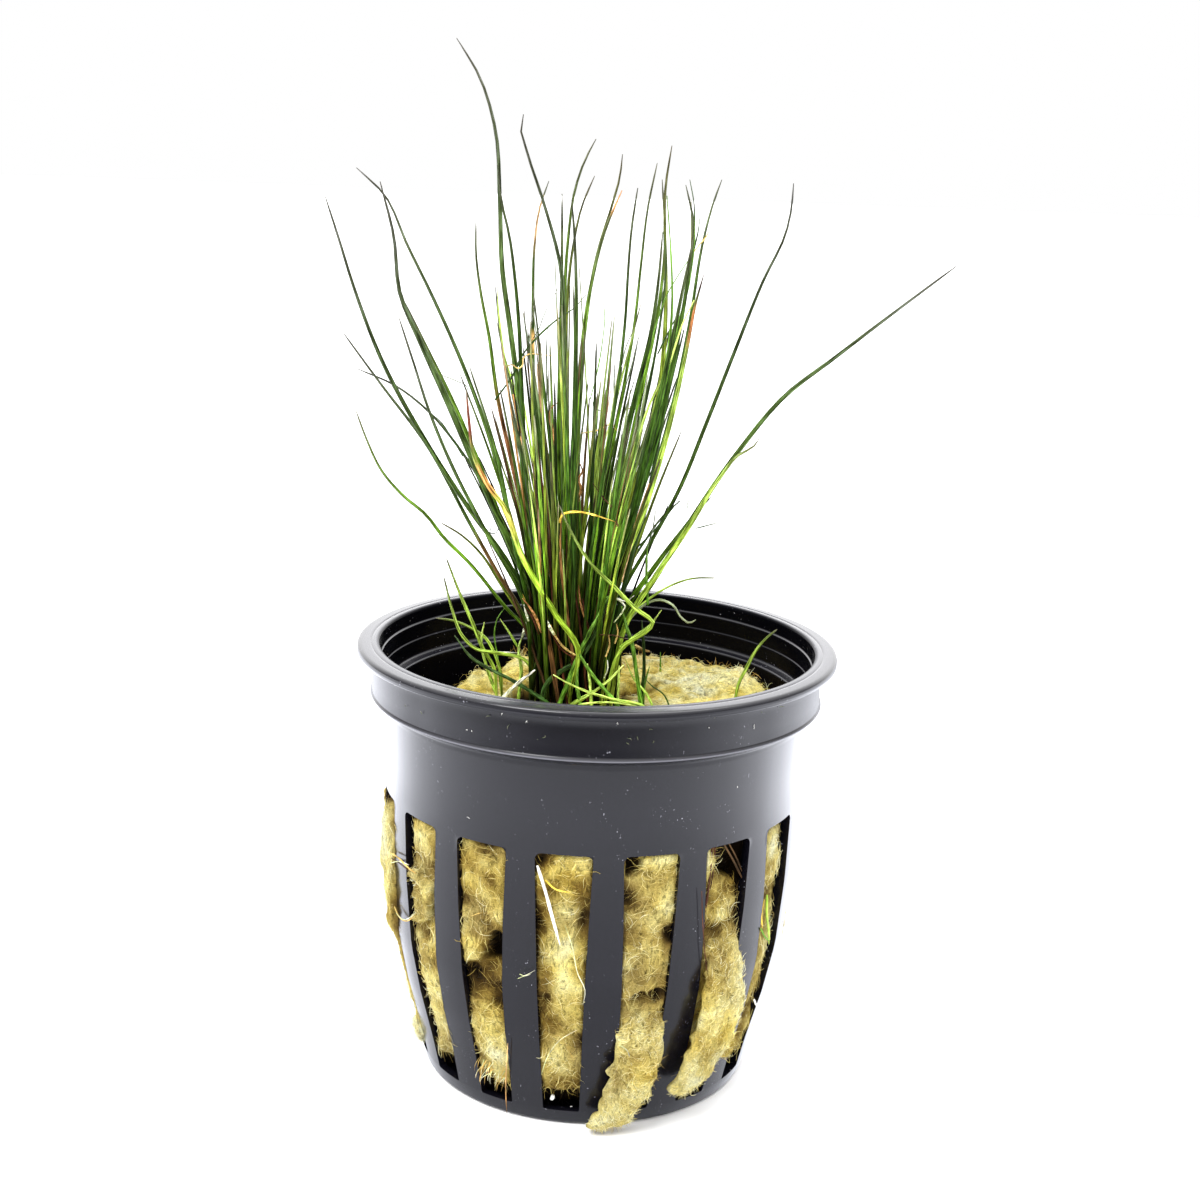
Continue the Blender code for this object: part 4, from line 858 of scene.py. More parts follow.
# Colour changes on single leaves: height, half its reach, and colour
LEAF_MARKS = {
    "blade_front_01": ((78.0, 3.6, (116, 62, 44)), (71.4, 2.4, (214, 150, 78)),
                       (67.0, 2.4, (206, 196, 84)), (57.0, 8.0, (168, 204, 56))),
    "blade_mid_06": ((97.0, 3.2, (206, 168, 116)), (83.6, 1.3, (214, 160, 84))),
    "blade_mid_12": ((101.5, 2.6, (196, 132, 70)),),
    "blade_right_07": ((88.6, 2.6, (180, 116, 62)), (92.6, 1.8, (54, 34, 24))),
    "blade_right_05": ((94.0, 3.0, (112, 70, 32)),),
    "blade_mid_03": ((72.0, 9.0, (112, 74, 40)),),
    "blade_left_02": ((58.0, 5.0, (104, 76, 38)),),
}
LEAF_STEPS, LEAF_SIDES, LEAF_RIBS = 40, 10, 0.18
LEAF_SLIMMER = ((0.0, 0.78), (0.3, 0.82), (0.55, 0.92), (0.97, 1.15), (1.0, 0.5))
# Painted shade deep in the tuft: height and share of the colour that is left
TUFT_SHADE = ((42.0, 0.04), (46.0, 0.17), (51.0, 0.42), (57.0, 0.72), (64.0, 0.92), (72.0, 1.0))
# Leaves that pass in front of the tuft in the photo, and how far they are moved to the camera
IN_FRONT = {"blade_front_01": 5.0, "blade_front_02": 3.4}


def leaf_lines(node):
    """Centrelines, from foot to tip, and radii of the leaves of a solid."""
    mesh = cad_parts[node].data
    places = np.array([vert.co for vert in mesh.vertices]) / MM
    points, welded = np.unique(np.round(places, 3), axis=0, return_inverse=True)
    welded = welded.ravel()
    links = [set() for _ in points]
    for edge in mesh.edges:
        one, two = (int(welded[index]) for index in edge.vertices)
        links[one].add(two)
        links[two].add(one)
    away = np.linalg.norm(points[:, None] - points[None, :], axis=2)
    tight = (away < 0.2).sum(axis=1) >= 4
    sheaf = node.startswith("sheaf")
    if sheaf:
        tight &= points[:, 2] > CROWN_TOP + 5
    from_foot = np.linalg.norm(points - points[np.argmin(points[:, 2])], axis=1)
    rest = set(np.nonzero(tight)[0].tolist())
    lines = []
    while rest:
        first = max(rest, key=lambda index: from_foot[index])
        if lines and not sheaf:
            break
        ring = {index for index in rest if away[first, index] < 0.3}
        seen, centres, radii = set(), [], []
        while len(ring) == 4:
            seen |= ring
            corners = points[sorted(ring)]
            centres.append(corners.mean(axis=0))
            radii.append(np.linalg.norm(corners - centres[-1], axis=1).mean())
            ring = set().union(*(links[index] for index in ring)) - seen
        rest -= seen
        if sheaf:
            foot = points[points[:, 2] < STAND + 0.05].mean(axis=0)
            centres.append(foot + (centres[-1] - foot) * (0.35, 0.35, 0.0) + (0, 0, 0.4))
            radii.append(radii[-1])
        lines.append((np.array(centres[::-1]), np.array(radii[::-1])))
    if not lines or min(len(centres) for centres, _ in lines) < 3:
        raise ValueError(f"no leaf found in {node}")
    return lines


def add_tubes(name, strips, sides, material, ribs=0.0):
    """A piece of tubes, each with its path, radii, colours, and places along and around it."""
    paths, radii, tones, along, around = (np.array(part) for part in zip(*strips))
    verts, faces = tubes(paths, radii, sides, ribs)
    tones = np.repeat(tones.reshape(-1, 3), sides, axis=0)
    uvs = np.stack(np.broadcast_arrays(around[:, None, :], along[:, :, None]), -1)
    return add_piece(name, verts, faces, material, tones, uvs.reshape(-1, 2))


def leaf_mesh(name, lines, kinds, material, rng, shaded=False, marks=()):
    """One piece of ribbed tapering leaves along their centrelines."""
    strips = []
    share = np.linspace(0, 1, LEAF_STEPS)
    for (centres, widths), kind in zip(lines, kinds):
        path = smooth_path(centres, LEAF_STEPS)
        height = path[:, 2]
        run = np.concatenate(([0], np.cumsum(np.linalg.norm(np.diff(centres, axis=0), axis=1))))
        width = np.interp(share, run / run[-1], widths) * np.interp(share, *zip(*LEAF_SLIMMER))
        colour = ramp(share, LEAF_TONES[kind]) * rng.uniform(0.7, 1.15)
        if shaded:
            own = min(max(10 ** rng.normal(0.03, 0.55), 0.05), 4.0)
            powers = (1.8, 1.2, 0.85) if own < 1.0 else (0.4, 0.8, 0.8)
            power = np.interp(height, (44.0, 56.0, 85.0), powers)
            colour = colour * (own ** power)[:, None]
            # Painted shade: leaves are darker toward the tuft's core and toward its foot.
            inner = np.hypot(*(path[:, :2] - WELL_CENTRE).T) / (4.2 + 0.22 * (height - 44.0))
            deep = np.interp(inner, (0.2, 0.7, 1.1), (0.22, 0.5, 1.0))
            deep = deep + (1.0 - deep) * smoothstep(56.0, 84.0, height)
            deep = deep * np.interp(height, *zip(*TUFT_SHADE))
            # Bright leaves get more painted shade toward the foot.
            if kind == "bright":
                deep = deep * np.interp(height, (45.0, 54.0, 66.0), (0.12, 0.42, 1.0))
            colour = colour * deep[:, None]
        # Single leaves are painted darker toward the foot, as shade inside the tuft.
        elif kind in ("deep", "mid", "olive", "grey"):
            colour = colour * np.interp(height, (44.0, 50.0, 60.0), (0.2, 0.55, 1.0))[:, None]
        for place, reach, mark in marks:
            weight = smoothstep(reach, reach * 0.4, np.abs(height - place))[:, None]
            colour = colour * (1 - weight) + srgb(*mark) * weight
        strips.append((path, width, colour, share * run[-1] + rng.uniform(0, 500),
                       np.arange(LEAF_SIDES) / LEAF_SIDES + rng.uniform(0, 50)))
    return add_tubes(name, strips, LEAF_SIDES, material, LEAF_RIBS)


# Single leaves whose kind shows in the photo
LEAF_KINDS = {
    "bright": "blade_front_01 blade_front_02 blade_right_05 blade_right_07 blade_right_11 "
              "blade_low_01 shoot_left_01 shoot_left_02 shoot_left_03 shoot_right_01",
    "grey": "blade_left_01 blade_left_02 blade_left_03 blade_left_05 blade_left_06 "
            "blade_left_07 blade_mid_01 blade_mid_04 blade_mid_05 blade_right_09 blade_right_10",
    "deep": "blade_right_04 blade_right_08",
    "pale": "blade_low_02",
}


def leaf_kind(name, number):
    for kind, names in LEAF_KINDS.items():
        if name in names.split():
            return kind
    return ("deep", "mid", "olive", "mid", "deep", "mid", "olive")[number % 7]


def make_leaves(rng):
    skin = leaf_skin()
    for number, node in enumerate(sorted(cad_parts)):
        if node in ("pot", "rock_wool"):
            continue
        lines = leaf_lines(node)
        sheaf = node.startswith("sheaf")
        if sheaf:
            kinds = ["deep", "mid", ("brown", "bright", "mid")[number % 3], "olive"]
            kinds = kinds[:len(lines)]
            extra, extra_kinds = filler_leaves(rng, lines, 10)
            lines, kinds = lines + extra, kinds + extra_kinds
        else:
            kinds = [leaf_kind(node, number)] * len(lines)
        if node in IN_FRONT:
            lines = [(nearer(centres, IN_FRONT[node]), widths) for centres, widths in lines]
        piece = leaf_mesh(node + "_leaf", lines, kinds, skin, rng, sheaf,
                          LEAF_MARKS.get(node, ()))
        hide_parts(node)


def nearer(centres, distance):
    """The leaf moved to the camera along its lines of sight, but for its foot."""
    moved = distance * smoothstep(0.0, 4.0, centres[:, 2] - centres[0, 2])[:, None]
    sight = STATION - centres
    return centres + sight / np.linalg.norm(sight, axis=1, keepdims=True) * moved


def filler_leaves(rng, lines, count):
    """Finer leaves beside and behind those of a sheaf, bent a little otherwise."""
    made, kinds = [], []
    for _ in range(count):
        centres, widths = lines[rng.integers(len(lines))]
        run = np.linspace(0, 1, len(centres))[:, None]
        shift = rng.normal(0, 1.0, 3) * (2.0, 0.0, 0.0) + (0.0, rng.uniform(0.2, 3.4), 0.0)
        foot = rng.normal(0, 1.0, 3) * (0.7, 0.0, 0.0) + (0.0, rng.uniform(0.2, 1.4), 0.0)
        stretch = rng.uniform(0.66, 1.22)
        path = centres[0] + (centres - centres[0]) * (1.0, 1.0, stretch)
        path = path + shift * run ** 1.5 + foot * np.sin(math.pi * run) * 0.6
        made.append((path, widths * rng.uniform(0.4, 0.85)))
        kinds.append(rng.choice(("deep", "deep", "mid", "brown", "bright", "bright", "olive")))
    return made, kinds


# Strands: colours at foot and tip
STRAND_TONES = {
    "dark": ((44, 72, 22), (62, 80, 40)), "green": ((100, 152, 40), (104, 142, 52)),
    "light": ((160, 202, 64), (196, 218, 104)), "grey": ((92, 108, 74), (128, 126, 106)),
    "straw": ((216, 186, 106), (200, 160, 84)), "gold": ((240, 200, 70), (230, 194, 80)),
    "orange": ((196, 146, 80), (150, 98, 54)), "rust": ((84, 48, 28), (70, 38, 24)),
    "brown": ((84, 62, 36), (66, 48, 30)), "tan": ((210, 176, 116), (168, 118, 66)),
    "dry": ((30, 20, 11), (186, 132, 72)),
    "cream": ((206, 216, 146), (244, 240, 214)), "white": ((244, 242, 234), (250, 250, 246)),
}
# Loose leaves, dead leaves and threads of the tuft: kind, radius, depth at foot ("wool" where
# it grows from the wool), depth at tip, and points from foot to tip on the plane as above
STRANDS = (
    ("dark", 0.14, -3, -3, -12.4, 78.3, -10.5, 81.1, -9.4, 83.5, -7.8, 85.5, -5.4, 87.7, -4.1,
     88.6, -2.6, 90.3),
    ("grey", 0.07, -4, -4, -8.5, 85, -7.7, 86.4, -7.3, 87.6, -6.8, 88.8, -6, 90.3, -5.5, 91.7),
    ("straw", 0.09, -4, -4, -11.3, 82, -10.6, 82.3, -9.9, 81.9, -9.4, 82.3, -9.4, 83, -9, 83.4,
     -7.2, 83.5, -5.8, 83.4),
    ("green", 0.09, 0, 0, -1.8, 78.7, -1.3, 80.9, -0.9, 83.1, -0.6, 85.7, -0.5, 88.1, -0.8, 89.8,
     -1.3, 91), ("grey", 0.07, -2, -2, -1.5, 78.5, -1.4, 78, -0.5, 77.4, 0.1, 76.9),
    ("straw", 0.1, -4, -4, -2.6, 74.9, -1.6, 75.1, -0.4, 75.5, 0.2, 75.9, 0.6, 76.1, 1.3, 75.3),
    ("straw", 0.1, -4, -4, 2.3, 77.8, 2.9, 77.9, 3.1, 77.2),
    ("orange", 0.17, -6, -6, -5.6, 73.4, -5.8, 74.9, -6.2, 76.4, -6.1, 77.6, -5.4, 78.3),
    ("grey", 0.1, 2, 2, -8.9, 84.7, -9.2, 86.4, -9.5, 88.7),
    ("grey", 0.12, 2, 2, -8.8, 84.5, -8.6, 86.6, -8.3, 89.1),
    ("grey", 0.12, 0, 0, -6.6, 78.3, -6.7, 80.7, -6.8, 85.5, -6.7, 87.3),
    ("light", 0.15, 3, 3, -10, 78.2, -10.6, 80.6, -11.4, 82.9, -12, 86.5, -12.3, 88.9, -12.4,
     90.9), ("dark", 0.13, -2, -2, -7.4, 71.9, -7.8, 74.6, -7.8, 77.3),
    ("dark", 0.13, -5, -5, -7.4, 71.9, -7.8, 73.4, -8.1, 74.7),
    ("grey", 0.12, 3, 3, 0.9, 78.6, 0.8, 81, 0.8, 83.2),
    ("grey", 0.1, 3, 3, 1.6, 82.7, 1.9, 84.4, 2.7, 86.6),
    ("grey", 0.1, 3, 3, 2.1, 80.3, 2.7, 82.7, 3.3, 85.6, 3.8, 87.4),
    ("dark", 0.3, "wool", 0, -0.6, 44, 1.4, 60, 4, 76.6, 5.1, 83, 5.8, 89.1, 6, 94.2, 5.6, 97.3),
    ("green", 0.26, "wool", 0, -0.2, 44, 3, 62, 5.9, 78.5, 6.7, 84.6, 6.9, 89.1, 6.5, 95.1, 5.8,
     101.2),
    ("dark", 0.34, "wool", -1, 0.4, 44, 2, 53, 3.4, 60.6, 4.9, 66.6, 5.7, 72, 6.7, 78.5, 7.7, 83.7,
     8.3, 86.8),
    ("dark", 0.28, "wool", -1, 0, 44, 1.2, 53, 2.3, 60.5, 3.3, 66.5, 4.4, 73.5, 5.4, 79.7),
    ("light", 0.26, "wool", -2, -0.8, 44, 0.2, 56, 1.6, 65.2, 3.5, 73.8, 5.1, 79.1, 6.8, 82.8, 8.2,
     87.7, 9.3, 90.1),
    ("green", 0.2, "wool", -1, -1, 44, 0, 56, 1, 65.8, 2, 72.8, 3.3, 78.4, 4.8, 85.7, 6.4, 90.9,
     8.5, 94.5), ("green", 0.24, 0, 0, 5.4, 74, 6.8, 82.2, 7.8, 87.7, 8.6, 91.9, 9, 96, 8.9, 99.6),
    ("dark", 0.14, 0, 0, 8, 88, 8.9, 95, 9.4, 97.8, 9.5, 99.5),
    ("dark", 0.14, 0, 0, 8, 88, 8.9, 97, 8.8, 100.3, 8.2, 103),
    ("dark", 0.12, 1, 1, 5.5, 84, 6.6, 86.5, 7.5, 88.4),
    ("straw", 0.1, 2, 2, 9, 95.3, 9.5, 96, 10.2, 96.9, 10.6, 97.7),
    ("grey", 0.07, 1, 1, -15.4, 79.2, -15.7, 79.8, -16.6, 80.2, -18.3, 80.8, -19.7, 81.2),
    ("dark", 0.1, 0, 0, -15.9, 71.8, -17.4, 74.2, -18.7, 75.9, -19.7, 76.6),
    ("gold", 0.14, -12, -12, -4.8, 64.6, -4.5, 65.5, -3.3, 65.9, -2.4, 65.9, -0.8, 65.6, 1.6,
     64.9), ("brown", 0.12, -11, -11, 1.9, 64.3, 1.6, 65.1, 1.4, 66.1, 0.1, 67.6, -1.2, 69.3),
    ("orange", 0.2, -6, -6, -2.8, 67, -2.5, 68.7, -2.8, 69.7, -2.4, 70.6, -2.7, 71.5),
    ("rust", 0.2, -6, -6, -3.1, 66.6, -3.3, 68.2, -3.1, 69.7),
    ("dark", 0.08, -3, -3, -11.6, 63.8, -12.1, 63.1, -12.6, 63.1, -12.5, 63.9, -12.1, 64.6),
    ("brown", 0.06, -3, -3, -11.8, 67.8, -11, 68.2, -10.2, 68.4),
    ("grey", 0.07, 0, 0, 9.8, 66.3, 9.6, 67.3, 10.2, 68.2, 11.3, 69),
    ("grey", 0.1, 0, 0, 10.7, 64.5, 12, 64.9, 13.4, 65.3),
    ("grey", 0.11, 0, 0, 5.2, 61.2, 5.4, 62.6, 5.8, 64.1, 6, 66, 6.2, 67.3),
    ("dark", 0.12, 1, 1, 4, 61.9, 6, 64.1, 6.9, 65.3, 7.8, 66.5, 8.7, 67.7),
    ("green", 0.2, -2, -2, 5.6, 55.4, 5.3, 59, 5.3, 62.6),
    ("light", 0.2, -6, -6, 2.6, 50.2, 4.2, 51.5, 6, 53, 7.2, 54.8),
    ("cream", 0.32, "wool", -8, -10.7, 43.6, -9.3, 45.2, -7.1, 47.1),
    ("light", 0.26, "wool", 0, -8.9, 44.2, -8.7, 46.9, -9, 50.1, -8.6, 51.2),
    ("cream", 0.26, 0, 0, -8.7, 50.8, -8.5, 51.8, -8.2, 53),
    ("cream", 0.12, 2, 2, -12.8, 49.2, -11.3, 49.1, -9.2, 49.1),
    ("dark", 0.3, -9, 0, -5.5, 43.2, -7.9, 44.7, -9.8, 45.8, -12.7, 47.2, -14.6, 48.4, -16.5,
     50.9),
    ("green", 0.13, "wool", 2, -11.1, 45.1, -11.5, 48.7, -11.9, 51.2, -11.6, 53.1, -10.7, 54.5),
    ("light", 0.16, 1, 1, -9.2, 49.8, -9.9, 51, -11.3, 53.1),
    ("light", 0.25, "wool", 2, -11.9, 45, -12.8, 47.5, -13.4, 50.4, -13.1, 52.6),
    ("light", 0.26, "wool", -9, 5.5, 43.2, 2.6, 43.8, 0.4, 44.3, -2.7, 45.4, -5, 46.6),
    ("light", 0.3, "wool", -8, -2.8, 43, -0.3, 44.7, 1.6, 46.3, 3.1, 48.1),
    ("dark", 0.36, "wool", -7, -6.2, 43.4, -5.8, 45.3, -4.2, 47, -2.3, 48.3, -0.5, 51.3, 1.2,
     56.5), ("green", 0.36, "wool", -7.6, -4.2, 43.1, -3.2, 45.9, -2.1, 49.1, -1.4, 50.8, 1, 56.2),
    ("green", 0.32, "wool", -8.3, 2.1, 43.8, -0.4, 46.7, -1.7, 48.6, -2.8, 50.8),
    ("green", 0.28, "wool", -8, -1.8, 43.4, -2.2, 45.4, -2.1, 48.1),
    ("light", 0.28, "wool", -8, -0.5, 43.5, -0.7, 45.7, -1.1, 48.1),
    ("light", 0.2, "wool", -10, -2.1, 42.9, 1.2, 43.5, 4.8, 43.2),
    ("straw", 0.2, -8, -8, -2.4, 49, -3.8, 49.9, -5.2, 51.9, -5.5, 52.6),
    ("rust", 0.16, -7.8, -7.8, -2.6, 48.7, -4, 49.6, -5.3, 51.5, -5.8, 52.4),
    ("cream", 0.22, -8, -8, -5, 51.4, -5.7, 52.6, -6.3, 53.9),
    ("rust", 0.4, -7, -7, -2.7, 47.6, -2.7, 48.8),
    ("orange", 0.22, -7, -7, -6.5, 51.6, -7.2, 53.4, -8.1, 54.8, -8.8, 55.6),
    ("rust", 0.16, -7.2, -7.2, -6.8, 51.4, -7.6, 53.4, -8.6, 54.7),
    ("cream", 0.16, -7, -7, -8, 52.9, -8.3, 53.8, -8.6, 54.9),
    ("gold", 0.18, -6, -6, -8.5, 55.3, -9, 56.2, -9.3, 56.6),
    ("straw", 0.3, -1, -1, 4.3, 50.5, 5.2, 50, 6.1, 49.8),
    ("brown", 0.12, -7, -7, -0.3, 51.6, 1.8, 51.6, 4, 51),
    ("straw", 0.14, -7, -7, 1, 49, 1.4, 50.4, 1, 52.4),
    ("cream", 0.12, -7, -7, 0.9, 46.4, 1.3, 47.6, 1.2, 48.6),
    ("straw", 0.12, -7, -7, 2, 50.6, 2.3, 51.9, 2.1, 53),
    ("orange", 0.14, -7, -7, -1.6, 53.5, -2.1, 55.2, -2.4, 57.4),
    ("rust", 0.2, -7, -7, -0.9, 51.8, -1.5, 53.6, -1.9, 55.8),
    ("cream", 0.12, -6, -6, 1.8, 53.1, 2.7, 54.4, 3, 55.1, 2, 56, 3.1, 55.7, 4, 56.4),
    ("green", 0.36, "wool", -4, 5.3, 43.4, 4.6, 47.4, 4, 50.5, 3.2, 52.9, 2.6, 55.1),
    ("dark", 0.3, "wool", -2, 5.2, 43.4, 5.5, 47.4, 5.3, 50.8, 5, 53.5),
    ("green", 0.24, "wool", -2, 5.5, 43.5, 5.6, 45.7, 6.1, 48),
    ("light", 0.18, "wool", -4, 6.7, 43.2, 5.9, 44.7, 4.4, 46.4, 3.3, 48.8),
    ("dark", 0.12, "wool", -4, 7.8, 44.8, 6.5, 45.7, 5.3, 46.9),
    ("green", 0.15, "wool", 12, 7.4, 47.4, 7.3, 49.8),
    ("light", 0.22, "wool", -7, 2.6, 43.3, 2.6, 45.6, 2.6, 48),
    ("dry", 0.36, "wool", -7.4, -4.4, 44, -6, 53, -7.2, 61, -8.6, 70, -10.4, 79),
    ("rust", 0.2, "wool", -7, -3.4, 44, -5.2, 55, -5.9, 61, -6.6, 67, -7.6, 74),
    ("dry", 0.26, "wool", -7, -2, 44, -3.6, 54, -4.6, 61, -4.6, 66),
    ("rust", 0.18, "wool", -7, -1, 44, -2, 52, -2.9, 58, -3, 64),
    ("tan", 0.3, -8, -8, 2.4, 58, 3.6, 63.5, 5.2, 69.5),
    ("brown", 0.2, "wool", -5, -5.4, 44, -8.6, 52.5, -11.6, 59.5, -13.2, 63),
)


DEAD = ("straw", "gold", "orange", "rust", "brown", "dry", "tan", "cream")
# Height in the wool where strands that grow from it end
STRAND_ROOT = 43.0


def spikes(rng):
    """Stiff single fibres that stand out of the wool: at a lump in a slot and along its top."""
    rows = []
    middle = FRONT_BAR_ANGLE + 14.5 * SLOT_PITCH
    for _ in range(34):
        z = rng.uniform(5.0, 6.8)
        radius = read(INSIDE, z) + 0.5
        angle = middle + rng.uniform(-0.9, 0.8) * slot_half(z) / radius
        fall, aside, out = rng.uniform(0.8, 2.2), rng.normal(-0.35, 0.3), rng.uniform(0.2, 0.9)
        rows.append((rng.choice(("cream", "straw")), rng.uniform(0.03, 0.06), [
            np.array((r * math.sin(a), -r * math.cos(a), height)) for r, a, height in (
                (radius, angle, z), (radius + out, angle + 0.6 * aside / radius, z - 0.5 * fall),
                (radius + 0.8 * out, angle + aside / radius, z - fall))]))
    for _ in range(320):
        angle, r = math.radians(rng.uniform(35.0, 215.0)), rng.uniform(13.0, 21.6)
        x, y = r * math.sin(angle), -r * math.cos(angle)
        foot = np.array((x, y, float(wool_top(np.array([x]), np.array([y]))[0][0]) - 0.2))
        way = np.array((*rng.normal(0.0, 0.6, 2), 1.0)) * rng.uniform(0.5, 1.3)
        bend = rng.normal(0.0, 0.12, 3)
        rows.append((rng.choice(("cream", "straw")), rng.uniform(0.02, 0.036),
                     [foot, foot + 0.5 * way + bend, foot + way]))
    return rows


def lint(rng):
    """Bits of lint on the outside of the pot, as short curled threads."""
    rows = []
    for spot in [on_wall(x, z, off) for off, row in LINT.items() for x, z in pairs(row)]:
        turn = rng.uniform(0, 2 * math.pi)
        points = []
        for _ in range(4):
            points.append(spot)
            turn += rng.normal(0.0, 1.1)
            spot = spot + np.array((math.cos(turn), 0.0, math.sin(turn))) * rng.uniform(0.06, 0.24)
        rows.append((rng.choice(("white", "grey")), rng.uniform(0.03, 0.05), points))
    return rows


def grown(foot, tip, points):
    """Points of a strand in space; one that grows from the wool is carried down into it."""
    from_wool = foot == "wool"
    if from_wool:
        foot = STATION[1] * (1.0 - (44.0 - STATION[2]) / (points[0][1] - STATION[2]))
        if tip < 10:
            foot = min(foot, tip)
    depths = np.linspace(foot, tip, len(points))
    line = [seen_at(x, z, depth) for (x, z), depth in zip(points, depths)]
    if from_wool and line[0][2] > 43.7:
        fall = line[0][2] - STRAND_ROOT
        aside = (line[0] - line[1]) * min(1.0, fall / max(line[1][2] - line[0][2], 1.0))
        line.insert(0, np.array((line[0][0] + aside[0], line[0][1] + aside[1], STRAND_ROOT)))
    return line


def make_strands(name, rows, steps, sides, material, taper):
    """All strands of one sort as one piece."""
    strips = []
    share = np.linspace(0, 1, steps)
    for number, (kind, radius, line) in enumerate(rows):
        path = smooth_path(line, steps)
        uneven = 1.0 + 0.25 * noise(path, 1.3, 71)
        width = 0.8 * radius * np.interp(share, *zip(*taper)) * uneven
        foot, tip = (srgb(*colour) for colour in STRAND_TONES[kind])
        mottle = 1 + (0.7 if kind in DEAD else 0.3) * noise(path, 0.9, 72)
        colour = (foot + (tip - foot) * share[:, None]) * mottle[:, None]
        around = np.arange(sides) / sides + 1.37 * number
        strips.append((path, width, colour, 30 * share, around))
    add_tubes(name, strips, sides, material)


# Stage

# Glow by direction from the pot: 0 in front, 0.5 beside, 1 behind
CARD_GLOW = ((0.0, 2.1), (0.05, 2.15), (0.13, 2.4), (0.25, 2.9), (0.33, 3.2), (0.41, 3.8),
             (0.52, 4.4), (0.62, 5.2), (0.74, 4.9), (0.87, 3.4), (0.96, 1.4), (1.0, 0.9))


def stage_plane(name, size, place, material):
    bpy.ops.mesh.primitive_plane_add(size=size, location=place)
    plane = bpy.context.object
    plane.name = name
    plane.data.materials.append(material)
    return plane


def card_glow():
    """Glow of the white table as the pot mirrors it: brightest behind, dark where it ends."""
    s = Shader("card_glow")
    place = s.node("TexCoord").outputs["Object"]
    apart = s.node("SeparateXYZ", Vector=s.node("VectorMath", {"operation": "NORMALIZE"},
                                                Vector=place).outputs["Vector"])
    lean = s.math("MULTIPLY_ADD", s.math("MINIMUM", apart.outputs["X"], 0.0), 0.08, 0.5)
    behind = s.math("MULTIPLY_ADD", apart.outputs["Y"], 0.5, lean)
    tint = np.array((0.96, 0.98, 1.05)) / 8.0
    level = s.curve(behind, *((share, glow * tint) for share, glow in CARD_GLOW))
    away = s.node("VectorMath", {"operation": "LENGTH"}, Vector=place).outputs["Value"]
    front = s.curve(behind, (0.0, 1.0), (0.067, 0.72), (0.156, 0.5), (0.21, 0.37), (0.28, 0.3),
                    (0.38, 0.15), (0.47, 0.4), (0.9, 0.5))
    ends = s.math("MULTIPLY", front, s.curve(away, (0.138, 0.0), (0.15, 1.0)))
    near = s.curve(away, (0.03, 0.4), (0.06, 0.55), (0.093, 0.64), (0.112, 1.0))
    level = s.mix(1.0, s.mix(ends, level, (0.0, 0.0, 0.0, 1.0)), near, "MULTIPLY")
    s.set(Base_Color=(0.0, 0.0, 0.0, 1.0), Emission_Color=level, Emission_Strength=8.0)
    return s.material


def make_stage():
    s = Shader("pale_floor")
    s.set(Base_Color=(0.93, 0.93, 0.935, 1.0), Roughness=0.75, Specular_IOR_Level=0.2)
    stage_plane("floor", 6.0, (0.0, 1.5, 0.0), s.material)
    card = stage_plane("table_card", 1.6, (0.0, 0.0, 0.0004), card_glow())
    card.visible_camera = card.visible_diffuse = card.visible_shadow = False
    card.visible_transmission = card.visible_volume_scatter = False
    world = bpy.data.worlds.new("studio")
    bpy.context.scene.world = world
    w = Nodes(world, "Background")
    way = w.node("SeparateXYZ", Vector=w.node("TexCoord").outputs["Generated"]).outputs

    def reach(value, start, end, first, last):
        return w.node("MapRange", {"interpolation_type": "SMOOTHSTEP"}, Value=value,
                      From_Min=start, From_Max=end, To_Min=first, To_Max=last).outputs["Result"]

    above = reach(way["Z"], 0.0, 0.95, 0.7, 2.4)
    backdrop = w.math("MULTIPLY", reach(way["Y"], 0.3, 0.8, 0.0, 1.4),
                      reach(way["Z"], 0.35, 0.75, 1.0, 0.0))
    level = w.node("Mix", Factor=w.node("LightPath").outputs["Is Camera Ray"],
                   A=w.math("ADD", above, backdrop), B=1.0)
    w.set(Color=(1.0, 1.0, 1.0, 1.0), Strength=level.outputs["Result"])
    for name, place, size, watts in (("key", (-0.35, -0.45, 0.75), 0.45, 7.0),
                                     ("top", (0.15, 0.15, 0.8), 0.6, 3.0)):
        light = bpy.data.lights.new(name, "AREA")
        light.shape = "DISK"
        light.size = size
        light.energy = watts
        lamp = bpy.data.objects.new(name, light)
        bpy.context.scene.collection.objects.link(lamp)
        lamp.location = place
        aim = Vector((0.0, 0.0, 0.05)) - Vector(place)
        lamp.rotation_euler = aim.to_track_quat("-Z", "Y").to_euler()


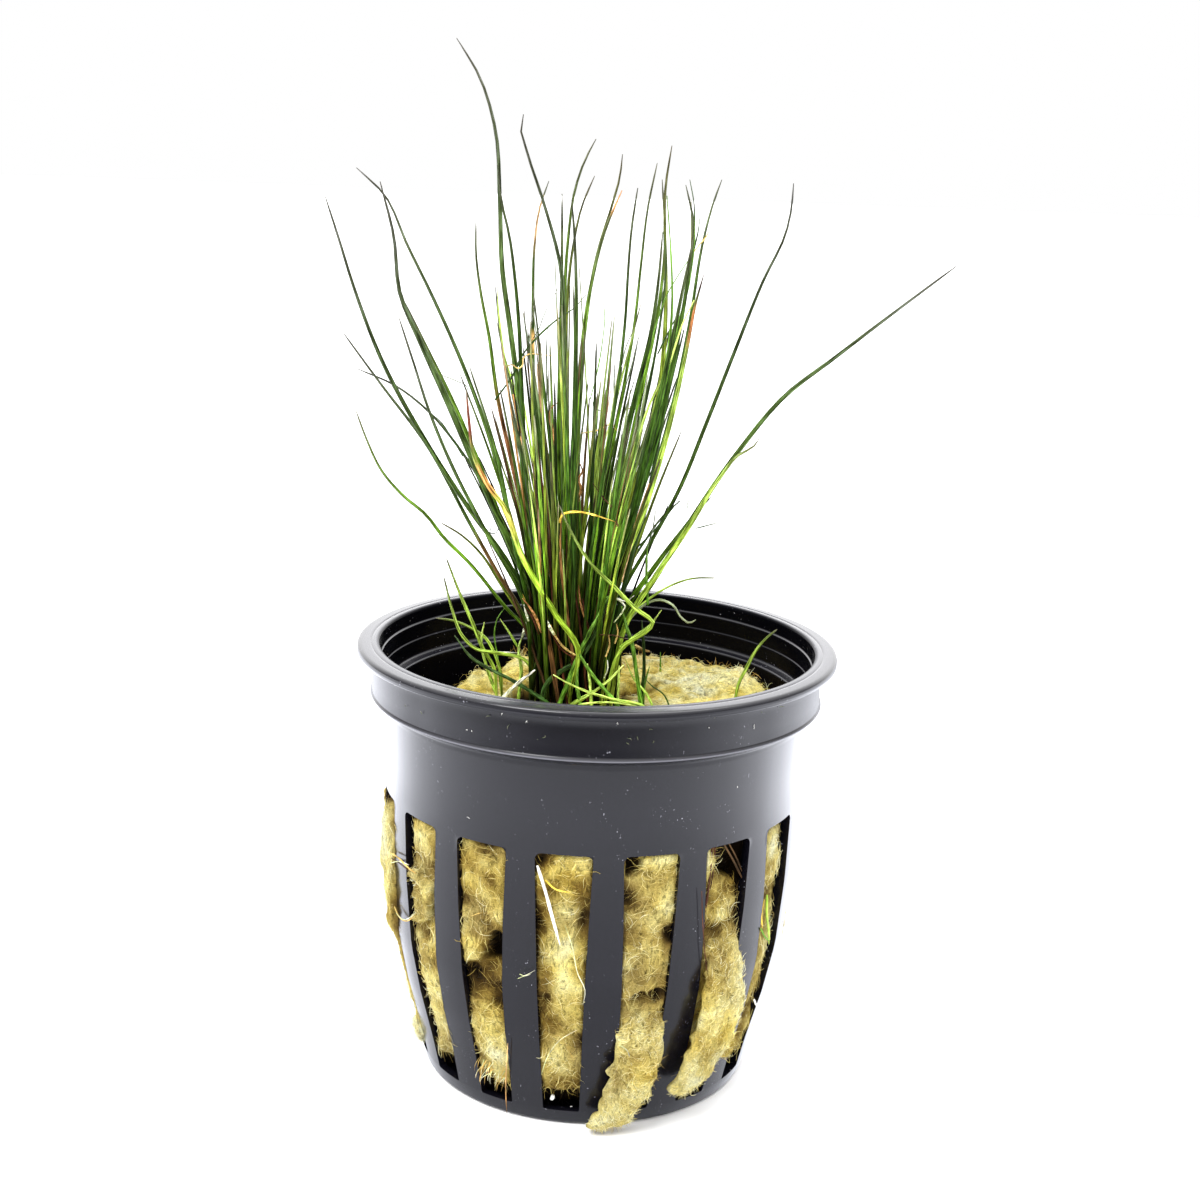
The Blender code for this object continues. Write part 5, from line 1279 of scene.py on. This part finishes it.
def make_camera():
    data = bpy.data.cameras.new("camera")
    data.lens = CAMERA_LENS
    data.sensor_width = 36.0
    data.clip_start, data.clip_end = 0.01, 10.0
    camera = bpy.data.objects.new("camera", data)
    bpy.context.scene.collection.objects.link(camera)
    camera.matrix_world = (Matrix.Translation([c * MM for c in CAMERA_PLACE])
                           @ Matrix.Rotation(math.pi / 2 - CAMERA_PITCH, 4, "X")
                           @ Matrix.Rotation(CAMERA_ROLL, 4, "Z"))
    bpy.context.scene.camera = camera


def main():
    bpy.context.scene.view_settings.view_transform = "Standard"
    make_camera()
    make_stage()
    make_pot()
    rng = np.random.default_rng(5)
    side, top = make_wool()
    front = side[1][:, 1] < 0.1
    strand = strand_fibre()
    for name, count, half in (("front", 7400, front), ("back", 4000, ~front)):
        make_fibres("wool_fibres_" + name, rng, count, [part[half] for part in side],
                    (0.8, 2.8), 0.13, strand)
    make_fibres("wool_fibres_top", rng, 4000, top, (0.5, 1.7), 0.3, strand)
    make_fibres("wool_fibres_tongues", rng, 3000, make_tongues(), (0.5, 1.6), 0.12, strand)
    make_fibres("wool_fibres_rolls", rng, 1200, make_rolls(), (0.4, 1.2), 0.24, strand)
    rows = [(kind, radius, [on_wall(x, z, off) for x, z in pairs(spots)])
            for kind, radius, off, *spots in WOOL_STRANDS]
    make_strands("wool_stray_strands", rows, 16, 8, strand,
                 ((0.0, 0.55), (0.15, 1.0), (0.8, 0.9), (1.0, 0.3)))
    make_strands("wool_spikes", spikes(rng), 6, 4, strand,
                 ((0.0, 1.0), (0.6, 0.8), (1.0, 0.2)))
    make_strands("lint", lint(rng), 10, 5, strand,
                 ((0.0, 0.4), (0.5, 1.0), (1.0, 0.4)))
    make_leaves(rng)
    rows = [(kind, radius, grown(foot, tip, pairs(spots)))
            for kind, radius, foot, tip, *spots in STRANDS]
    skin = bpy.data.materials["leaf_skin"]
    blade = ((0.0, 0.8), (0.3, 1.0), (0.7, 0.8), (1.0, 0.3))
    for sort, kinds in (("green", ("dark", "green", "grey")), ("young", ("light",)),
                        ("dead", DEAD)):
        make_strands("stray_leaves_" + sort, [row for row in rows if row[0] in kinds], 28, 8,
                     skin, blade)


main()
